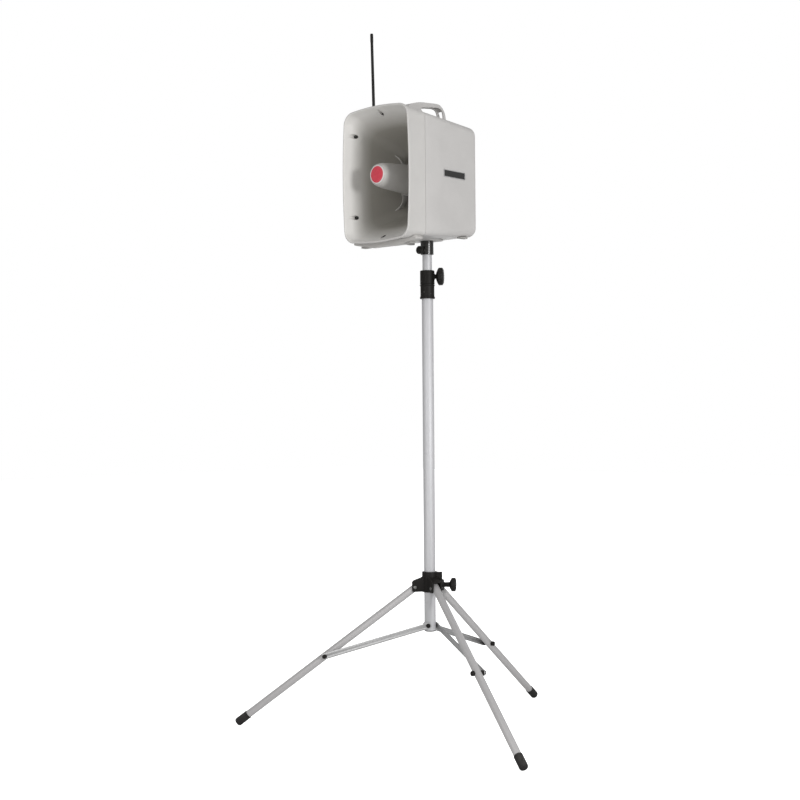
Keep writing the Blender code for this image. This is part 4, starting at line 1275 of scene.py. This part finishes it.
install(spider, HORN, "head", ["nose_spider"], 40)

# Pole socket and its knob

socket_low, socket_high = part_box("pole_socket")
SOCKET_LOW, SOCKET_HIGH = socket_low.z / MM, socket_high.z / MM
mast_top = mast_high.z / MM
socket_profile = [
    (12.8, SOCKET_LOW), (16.2, SOCKET_LOW), (17.0, SOCKET_LOW + 0.8), (17.0, 1285.6), (27.0, 1285.6),
    (27.0, 1289.0), (17.0, 1289.0),
    (17.0, SOCKET_HIGH), (0, SOCKET_HIGH), (0, mast_top + 3), (12.8, mast_top + 3),
]
socket = spun("socket", socket_profile + socket_profile[:1], 96)
knob_spot = Vector((POLE.x, POLE.y, JOINTS["socket_knob_turn"]["pos_m"][2]))
nub = seat(soften(rod("nub", 7.0, 14, 20.5, 48), 0.5, 2), at(knob_spot, FORWARD))
on_pole(socket)
carve(socket, nub, operation="UNION")
carve(socket, seat(rod("bore", 3.8, 4, 30), at(knob_spot, FORWARD)))
carve(socket, on_pole(rod("bore", 12.8, 1200, mast_top + 3, 96)))
install(socket, SOCKET, "head", ["pole_socket"], 35)
fit_knob(
    "socket_clamp_knob", "socket_knob_turn", "socket_knob", knob_spot,
    (13.0, 20.9, 4.4, 23.0, 34.0, 10.6), 0, "socket_knob",
)

# Pedestal and pads under the head

pedestal_side = (
    [(-96, 1273), (-107.5, 1262.5)] + arc((-104, 1261), 4, 180, 240, 3)
    + [(-100, 1256), (-61, 1248.6)] + arc((-56, 1256), 8, 250, 270, 2)
)
pedestal_outline = pedestal_side + [(-x, z) for x, z in pedestal_side[::-1]]
FACE_FRONT = Matrix.Translation(POLE) @ Matrix.Rotation(math.pi / 2, 4, "X")
pedestal = seat(drawn("pedestal_block", pedestal_outline, 138.0, 164.0), FACE_FRONT)
clear = 0.6
block_rows = [(SEAM_F - 4, SEAM_HALF[0] + clear, SEAM_HALF[1] + clear, SHELL_CORNER, 0.0, SEAM_MID)]
block_rows += [
    (f, w + clear, h + clear, corner, crown, mid)
    for f, w, h, corner, crown, mid in bell_outside[1:]
]
soften(pedestal, 1.2, 3, 40)
carve(pedestal, lofted("bell_block", stations(block_rows)))
install(pedestal, HORN, "head", ["pedestal"], 40)
PAD_REST = 2.2
for side in ("right", "left"):
    low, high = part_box(f"front_pad_{side}")
    spot = (low + high) / 2
    pad = soften(
        drawn(
            f"front_foot_{side}", round_box(13, 9, 4, 0, 8, 1), low.z / MM + PAD_REST, high.z / MM + 3,
        ),
        0.5, 2, 50,
    )
    seat(pad, Matrix.Translation((spot.x, spot.y, 0)))
    carve(
        pad,
        seat(drawn("upper", [(u, w - 0.3) for u, w in pedestal_outline], 130.0, 170.0), FACE_FRONT),
    )
    install(pad, PAD, "head", [f"front_pad_{side}"])
    low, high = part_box(f"rear_pad_{side}")
    spot = (low + high) / 2
    half = (high - low) / 2 / MM
    pad = soften(
        drawn(f"rear_foot_{side}", round_box(half.x, half.y, 5, 0, 8, 1), low.z / MM, high.z / MM + 3),
        0.8, 2, 50,
    )
    seat(pad, Matrix.Translation((spot.x, spot.y, 0)))
    roof = [(-f, box_side(f)[2] - box_side(f)[1] - 0.35) for f in (10, -80)]
    carve(pad, seat(drawn("roof", roof + [(80, 1300), (-10, 1300)], -110.0, 110.0), STAND_UP))
    install(pad, PAD, "head", [f"rear_pad_{side}"])

# Plate on the box's side: an alloy frame round a dark field

PLATE_MIDDLE_F, PLATE_HALF_LONG, PLATE_HALF_TALL, PLATE_BORDER = 15.0, 43.0, 9.25, 1.7
plate_low, plate_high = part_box("side_plate")
side_slope = (SEAM_HALF[0] - REAR_HALF[0]) / (SEAM_F - REAR_F)
plate_spot = POLE + Vector(
    ((box_side(PLATE_MIDDLE_F)[0] + 0.25) * MM, -PLATE_MIDDLE_F * MM, (plate_low.z + plate_high.z) / 2)
)
plate_place = at(plate_spot, (1, side_slope, 0), UP)
plate_frame = drawn("plate_frame", round_box(PLATE_HALF_TALL, PLATE_HALF_LONG, 2.2, 0, 6, 1), 0.0, 1.3)
field_half = (PLATE_HALF_TALL - PLATE_BORDER, PLATE_HALF_LONG - PLATE_BORDER)
carve(plate_frame, drawn("window", round_box(*field_half, 1.2, 0, 6, 1), -1.0, 3.0))
soften(plate_frame, 0.3, 2, 50)
plate_field = soften(
    drawn("plate_field", round_box(field_half[0] - 0.1, field_half[1] - 0.1, 1.1, 0, 6, 1), 0.1, 0.95),
    0.2, 2, 50,
)
install(seat(plate_frame, plate_place), BORDER, "head", ["side_plate"], 40)
install(seat(plate_field, plate_place), PANEL, "head")

# Antenna: flanged base with a fork and a pin, and a stepped whip

whip_hinge = Vector(JOINTS["antenna_fold"]["pos_m"])
base_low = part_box("antenna_base")[0]
whip_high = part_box("antenna_whip")[1]
HINGE_Z = whip_hinge.z / MM
base_profile = [
    (0, base_low.z / MM), (8.5, base_low.z / MM), (8.5, base_low.z / MM + 2.4),
    (7.9, base_low.z / MM + 3.2), (7.2, base_low.z / MM + 3.6),
    (7.2, HINGE_Z - 9.2), (6.8, HINGE_Z - 8.2), (6.3, HINGE_Z - 7.6), (0, HINGE_Z - 7.6),
]
aerial_base = spun("aerial_base", base_profile, 64)
seat(aerial_base, Matrix.Translation((whip_hinge.x, whip_hinge.y, 0)))
for low in (-6.0, 3.2):
    prong = drawn(
        "prong", arc((0, HINGE_Z), 4.6, 0, 180, 16) + [(-4.6, HINGE_Z - 9), (4.6, HINGE_Z - 9)], low,
        low + 2.8,
    )
    prong = seat(
        soften(prong, 0.4, 2, 50),
        Matrix.Translation(
            (whip_hinge.x, whip_hinge.y, 0)
        ) @ Matrix.Rotation(math.pi / 2, 4, "Z") @ Matrix.Rotation(math.pi / 2, 4, "X"),
    )
    carve(aerial_base, prong, operation="UNION")
hinge_pin = spun(
    "hinge_pin",
    [
        (0, -6.6), (2.0, -6.6), (2.2, -6.2), (2.2, -5.9), (1.3, -5.9), (1.3, 5.9), (2.2, 5.9),
        (2.2, 6.2), (2.0, 6.6), (0, 6.6),
    ],
    32,
)
carve(aerial_base, seat(hinge_pin, at(whip_hinge, RIGHT)), operation="UNION")
install(aerial_base, BLACK, "head", ["antenna_base"], 35)
WHIP_LONG = (whip_high.z - whip_hinge.z) / MM
whip_profile = [
    (0, 1.5), (2.4, 2.2), (2.7, 4.0), (2.8, 7.5), (3.7, 9.0), (3.9, 10.5), (3.85, 60.0), (3.75, 120.0),
    (3.6, WHIP_LONG - 24), (3.85, WHIP_LONG - 23),
    (4.0, WHIP_LONG - 21.5), (4.0, WHIP_LONG - 3.0), (3.6, WHIP_LONG - 1.4), (2.7, WHIP_LONG - 0.5),
    (1.2, WHIP_LONG - 0.1), (0, WHIP_LONG - 0.05),
]
whip = spun("aerial_whip", whip_profile, 48)
eye = seat(rod("eye", 4.4, -2.8, 2.8, 48), at((0, 0, 0), RIGHT))
carve(whip, eye, operation="UNION")
carve(whip, seat(rod("hole", 1.6, -5, 5), at((0, 0, 0), RIGHT)))
soften(whip, 0.3, 2, 50)
WHIP_LEAN = Matrix.Rotation(-0.0155, 4, "Y") @ Matrix.Rotation(0.0135, 4, "X")
install(
    seat(whip, Matrix.Translation(whip_hinge) @ WHIP_LEAN), WHIP, "antenna",
    ["antenna_whip"], 35,
)

# Rear panel with its controls, sockets, lamp, vents and battery door

panel_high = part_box("rear_panel")[1]
PANEL_BACK = (POLE.y - panel_high.y) / MM
PANEL_THICK = 3.0
panel_half, panel_tall, panel_mid = box_side(REAR_F, 4.6)
panel_tall -= 4.2
panel = drawn(
    "control_panel", [(x, z + panel_mid) for x, z in round_box(panel_half, panel_tall, 12, 0, 10, 1)],
    PANEL_BACK, PANEL_BACK + PANEL_THICK,
)
soften(panel, 0.5, 2, 50)
seat(panel, FACE_FRONT)
CONTROL_Z = JOINTS["mic_knob_turn"]["pos_m"][2] / MM
CONTROLS = [(JOINTS[f"{name}_knob_turn"]["pos_m"][0] - POLE.x) / MM for name in ("mic", "line")]
SWITCH_X = (JOINTS["power_switch_rock"]["pos_m"][0] - POLE.x) / MM
JACK_Z = CONTROL_Z - 44.0


def behind(x, z):
    """A place on the rear panel's face whose Z points backwards."""
    return at(POLE + Vector((x * MM, -PANEL_BACK * MM, z * MM)), BACKWARD, RIGHT)


def outline_at(half_w, half_h, corner, low, high, x, z):
    shape = drawn("pocket", round_box(half_w, half_h, corner, 0, 6, 1), low, high)
    return seat(shape, behind(x, z))


field = outline_at(88, 44, 6, -0.7, 2.0, 0, CONTROL_Z - 16)
carve(panel, field)
for x in CONTROLS:
    well = spun("well", [(0, -1.6), (10.6, -1.6), (11.6, -0.6), (11.6, 2), (0, 2)], 64)
    shaft = rod("shaft", 3.4, -5, 2)
    jack_seat = rod("jack_seat", 7.6, -1.5, 2, 48)
    carve(
        panel, seat(well, behind(x, CONTROL_Z)), seat(shaft, behind(x, CONTROL_Z)),
        seat(jack_seat, behind(x, JACK_Z)),
    )
slot = block("switch_slot", (12.6, 15.4, 20), (0, 0, 0))
carve(panel, seat(slot, behind(SWITCH_X, CONTROL_Z)))
carve(panel, seat(rod("inlet_seat", 6.6, -1.5, 2, 48), behind(SWITCH_X, JACK_Z)))
for row in range(7):
    carve(panel, outline_at(46, 1.6, 1.5, -1.8, 2.0, 0, 1429 - 8 * row))
DOOR_LOW = JOINTS["battery_door_open"]["pos_m"][2] / MM
door_low, door_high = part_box("battery_door")
DOOR_HALF, DOOR_TALL = (door_high.x - door_low.x) / 2 / MM, (door_high.z - door_low.z) / MM
DOOR_MIDDLE = DOOR_LOW + DOOR_TALL / 2
doorway = block("doorway", (DOOR_HALF * 2 + 0.8, DOOR_TALL + 0.8, 20))
carve(panel, seat(doorway, behind(0, DOOR_MIDDLE)))
shelf = block("shelf", (120, 2.4, 49), (0, 0, 0))
carve(
    panel,
    seat(
        shelf,
        Matrix.Translation(POLE + Vector((0, 0.0455, 1.2982))) @ Matrix.Rotation(math.pi / 2, 4, "X"),
    ),
    operation="UNION",
)
install(panel, PANEL, "head", ["rear_panel"], 35)
for index, (x, z) in enumerate(
    ((-92, 122), (92, 122), (-94, 0), (94, 0), (-92, -122), (92, -122), (0, 127), (0, -127))
):
    head = spun(
        f"panel_screw_{index}", [(0, 0.05), (3.4, 0.05), (3.4, 0.9), (2.9, 1.5), (1.6, 1.9), (0, 2.0)],
        36,
    )
    for turn in (0.2 * index, 0.2 * index + math.pi / 2):
        carve(head, seat(block("slot", (4.0, 0.8, 2.4), (0, 0, 1.9)), Matrix.Rotation(turn, 4, "Z")))
    install(seat(head, behind(x, panel_mid + z)), SCREW, "head")
ticks = []
for x in CONTROLS:
    for step in range(11):
        angle = math.radians(-150 + 30 * step)
        tick = block("tick", (0.8, 2.6 if step % 5 == 0 else 1.6, 0.5), (0, 14.4, -0.5))
        soften(tick, 0.12, 2, 50)
        ticks.append(seat(tick, behind(x, CONTROL_Z) @ Matrix.Rotation(angle, 4, "Z")))
install(join("dial_marks", ticks), PAD, "head")
for index, x in enumerate(CONTROLS):
    nut = drawn("jack_nut", arc((0, 0), 6.6, 0, 300, 5), -1.4, 1.0)
    barrel = spun("barrel", [(0, -1.4), (4.9, -1.4), (4.9, 2.0), (4.4, 2.4), (0, 2.4)], 48)
    carve(nut, barrel, operation="UNION")
    carve(nut, rod("bore", 3.2, -1.0, 5, 48))
    nut.name = f"jack_{index}"
    install(seat(soften(nut, 0.25, 2, 50), behind(x, JACK_Z)), RIVET, "head")
inlet = spun(
    "charge_inlet",
    [(0, -1.4), (6.3, -1.4), (6.3, 0.6), (5.7, 1.2), (3.1, 1.2), (2.8, 0.9), (2.8, -0.9), (0, -0.9)],
    56,
)
pin = spun("inlet_pin", [(0, -0.8), (0.9, -0.8), (0.9, 0.5), (0.6, 0.8), (0, 0.8)], 24)
install(seat(inlet, behind(SWITCH_X, JACK_Z)), BLACK, "head")
install(seat(pin, behind(SWITCH_X, JACK_Z)), RIVET, "head")
lamp = spun(
    "power_lamp",
    [(0, -0.6), (2.6, -0.6), (2.6, 0.2), (2.2, 0.6), (1.9, 0.7), (1.8, 1.2), (1.3, 1.9), (0, 2.2)], 40,
)
install(seat(lamp, behind(SWITCH_X + 20, CONTROL_Z)), BADGE_LAMP, "head")
bezel = outline_at(9.6, 11.0, 1.6, -0.5, 1.2, SWITCH_X, CONTROL_Z)
carve(bezel, seat(block("slot", (12.6, 15.4, 20)), behind(SWITCH_X, CONTROL_Z)))
bezel.name = "switch_bezel"
install(soften(bezel, 0.4, 2, 50), BLACK, "head")

# Knobs and rocker

for name, x in zip(("mic", "line"), CONTROLS):
    profile = [
        (0, -8.5), (3.0, -8.5), (3.0, 0.4), (9.0, 0.4), (9.0, 1.8), (8.7, 2.4), (8.2, 9.4), (7.8, 10.6),
        (6.8, 11.3), (3.6, 11.4), (3.2, 11.1), (0, 11.0),
    ]
    knob = spun(f"{name}_dial", profile, 96)
    flutes = []
    for step in range(18):
        angle = 2 * math.pi * step / 18
        flute = rod("flute", 0.75, 2.8, 14, 14)
        flutes.append(
            seat(flute, Matrix.Translation(Vector((math.cos(angle), math.sin(angle), 0)) * 8.9 * MM))
        )
    carve(knob, join("flutes", flutes))
    carve(knob, block("pointer", (0.9, 6.0, 2.0), (0, 5.4, 11.9)))
    install(
        seat(knob, behind(x, CONTROL_Z)), KNOB_BLACK, f"{name}_knob", [f"{name}_knob"],
        30,
    )
    mark = soften(block(f"{name}_pointer", (0.7, 5.6, 0.5), (0, 5.4, 11.15)), 0.1, 1, 50)
    install(seat(mark, behind(x, CONTROL_Z)), PAD, f"{name}_knob")
rocker_pivot = Vector(JOINTS["power_switch_rock"]["pos_m"])
rocker_side = [
    (-2, -4.5), (4, -6.2), (6.4, -6.3), (7, -5.9), (6.3, -3.2), (5.7, 0), (6.3, 3.2), (7, 5.9),
    (6.4, 6.3), (4, 6.2), (-2, 4.5),
]
rocker = soften(drawn("rocker", rocker_side, -5.8, 5.8), 0.5, 2, 40)
carve(rocker, seat(rod("dot", 1.3, 5.2, 9), at((0, 3.6 * MM, 0), RIGHT)))
ROCK = Matrix.Rotation(math.pi / 2, 4, "Z") @ Matrix.Rotation(math.pi / 2, 4, "X")
install(
    seat(rocker, Matrix.Translation(rocker_pivot) @ Matrix.Rotation(math.radians(7), 4, "X") @ ROCK),
    KNOB_BLACK, "power_switch", ["power_switch"], 35,
)

# Battery door: a framed cover with grip ribs, over the wrapped cells

door = drawn("battery_cover", round_box(DOOR_HALF, DOOR_TALL / 2, 2.0, 0, 5, 1), -2.6, -0.05)
soften(door, 0.4, 2, 50)
for row in range(5):
    rib = drawn("rib", round_box(22, 0.9, 0.85, 0, 5, 1), -0.75, 2.0)
    carve(door, seat(rib, Matrix.Translation((0, (DOOR_TALL / 2 - 12 - 3.2 * row) * MM, 0))))
frame_cut = drawn("frame_cut", round_box(DOOR_HALF - 5, DOOR_TALL / 2 - 5, 2.0, 0, 5, 1), -0.5, 2.0)
carve(
    frame_cut, drawn("inner", round_box(DOOR_HALF - 6.2, DOOR_TALL / 2 - 6.2, 1.5, 0, 5, 1), -2.0, 3.0),
)
carve(door, frame_cut)
install(
    seat(door, behind(0, DOOR_MIDDLE)), PANEL, "battery_door", ["battery_door"], 35,
)
pack_low, pack_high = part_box("battery_pack")
pack_spot = (pack_low + pack_high) / 2
half = (pack_high - pack_low) / 2 / MM
cells = []
for row in range(3):
    low = -half.x + row * (2 * half.x / 3)
    cell = soften(
        drawn("cell", round_box(half.x / 3 - 0.15, half.y, 11.0, 0, 10, 1), -half.z, half.z), 1.6, 3,
        50,
    )
    cells.append(seat(cell, Matrix.Translation(pack_spot + Vector(((low + half.x / 3) * MM, 0, 0)))))
wrap = soften(
    drawn("wrap", round_box(half.x - 4, half.y - 3.0, 6.0, 0, 8, 1), -half.z + 3, half.z - 3), 1.0, 2,
    50,
)
pack = seat(wrap, Matrix.Translation(pack_spot))
for cell in cells:
    carve(pack, cell, operation="UNION")
pack.name = "cell_pack"
install(pack, CELL, "head", ["battery_pack"], 35)

# Parts whose CAD shape stays: gasket, driver and board

for node, finish in (
    ("seam_gasket", RUBBER), ("driver_body", ALLOY), ("diaphragm", ALLOY), ("driver_magnet", FERRITE),
    ("amplifier_board", BOARD),
):
    for place_in_list in frame["nodes"][node].material_slots:
        place_in_list.material = finish

set_camera()
set_studio()
bpy.context.scene.view_settings.view_transform = "Standard"
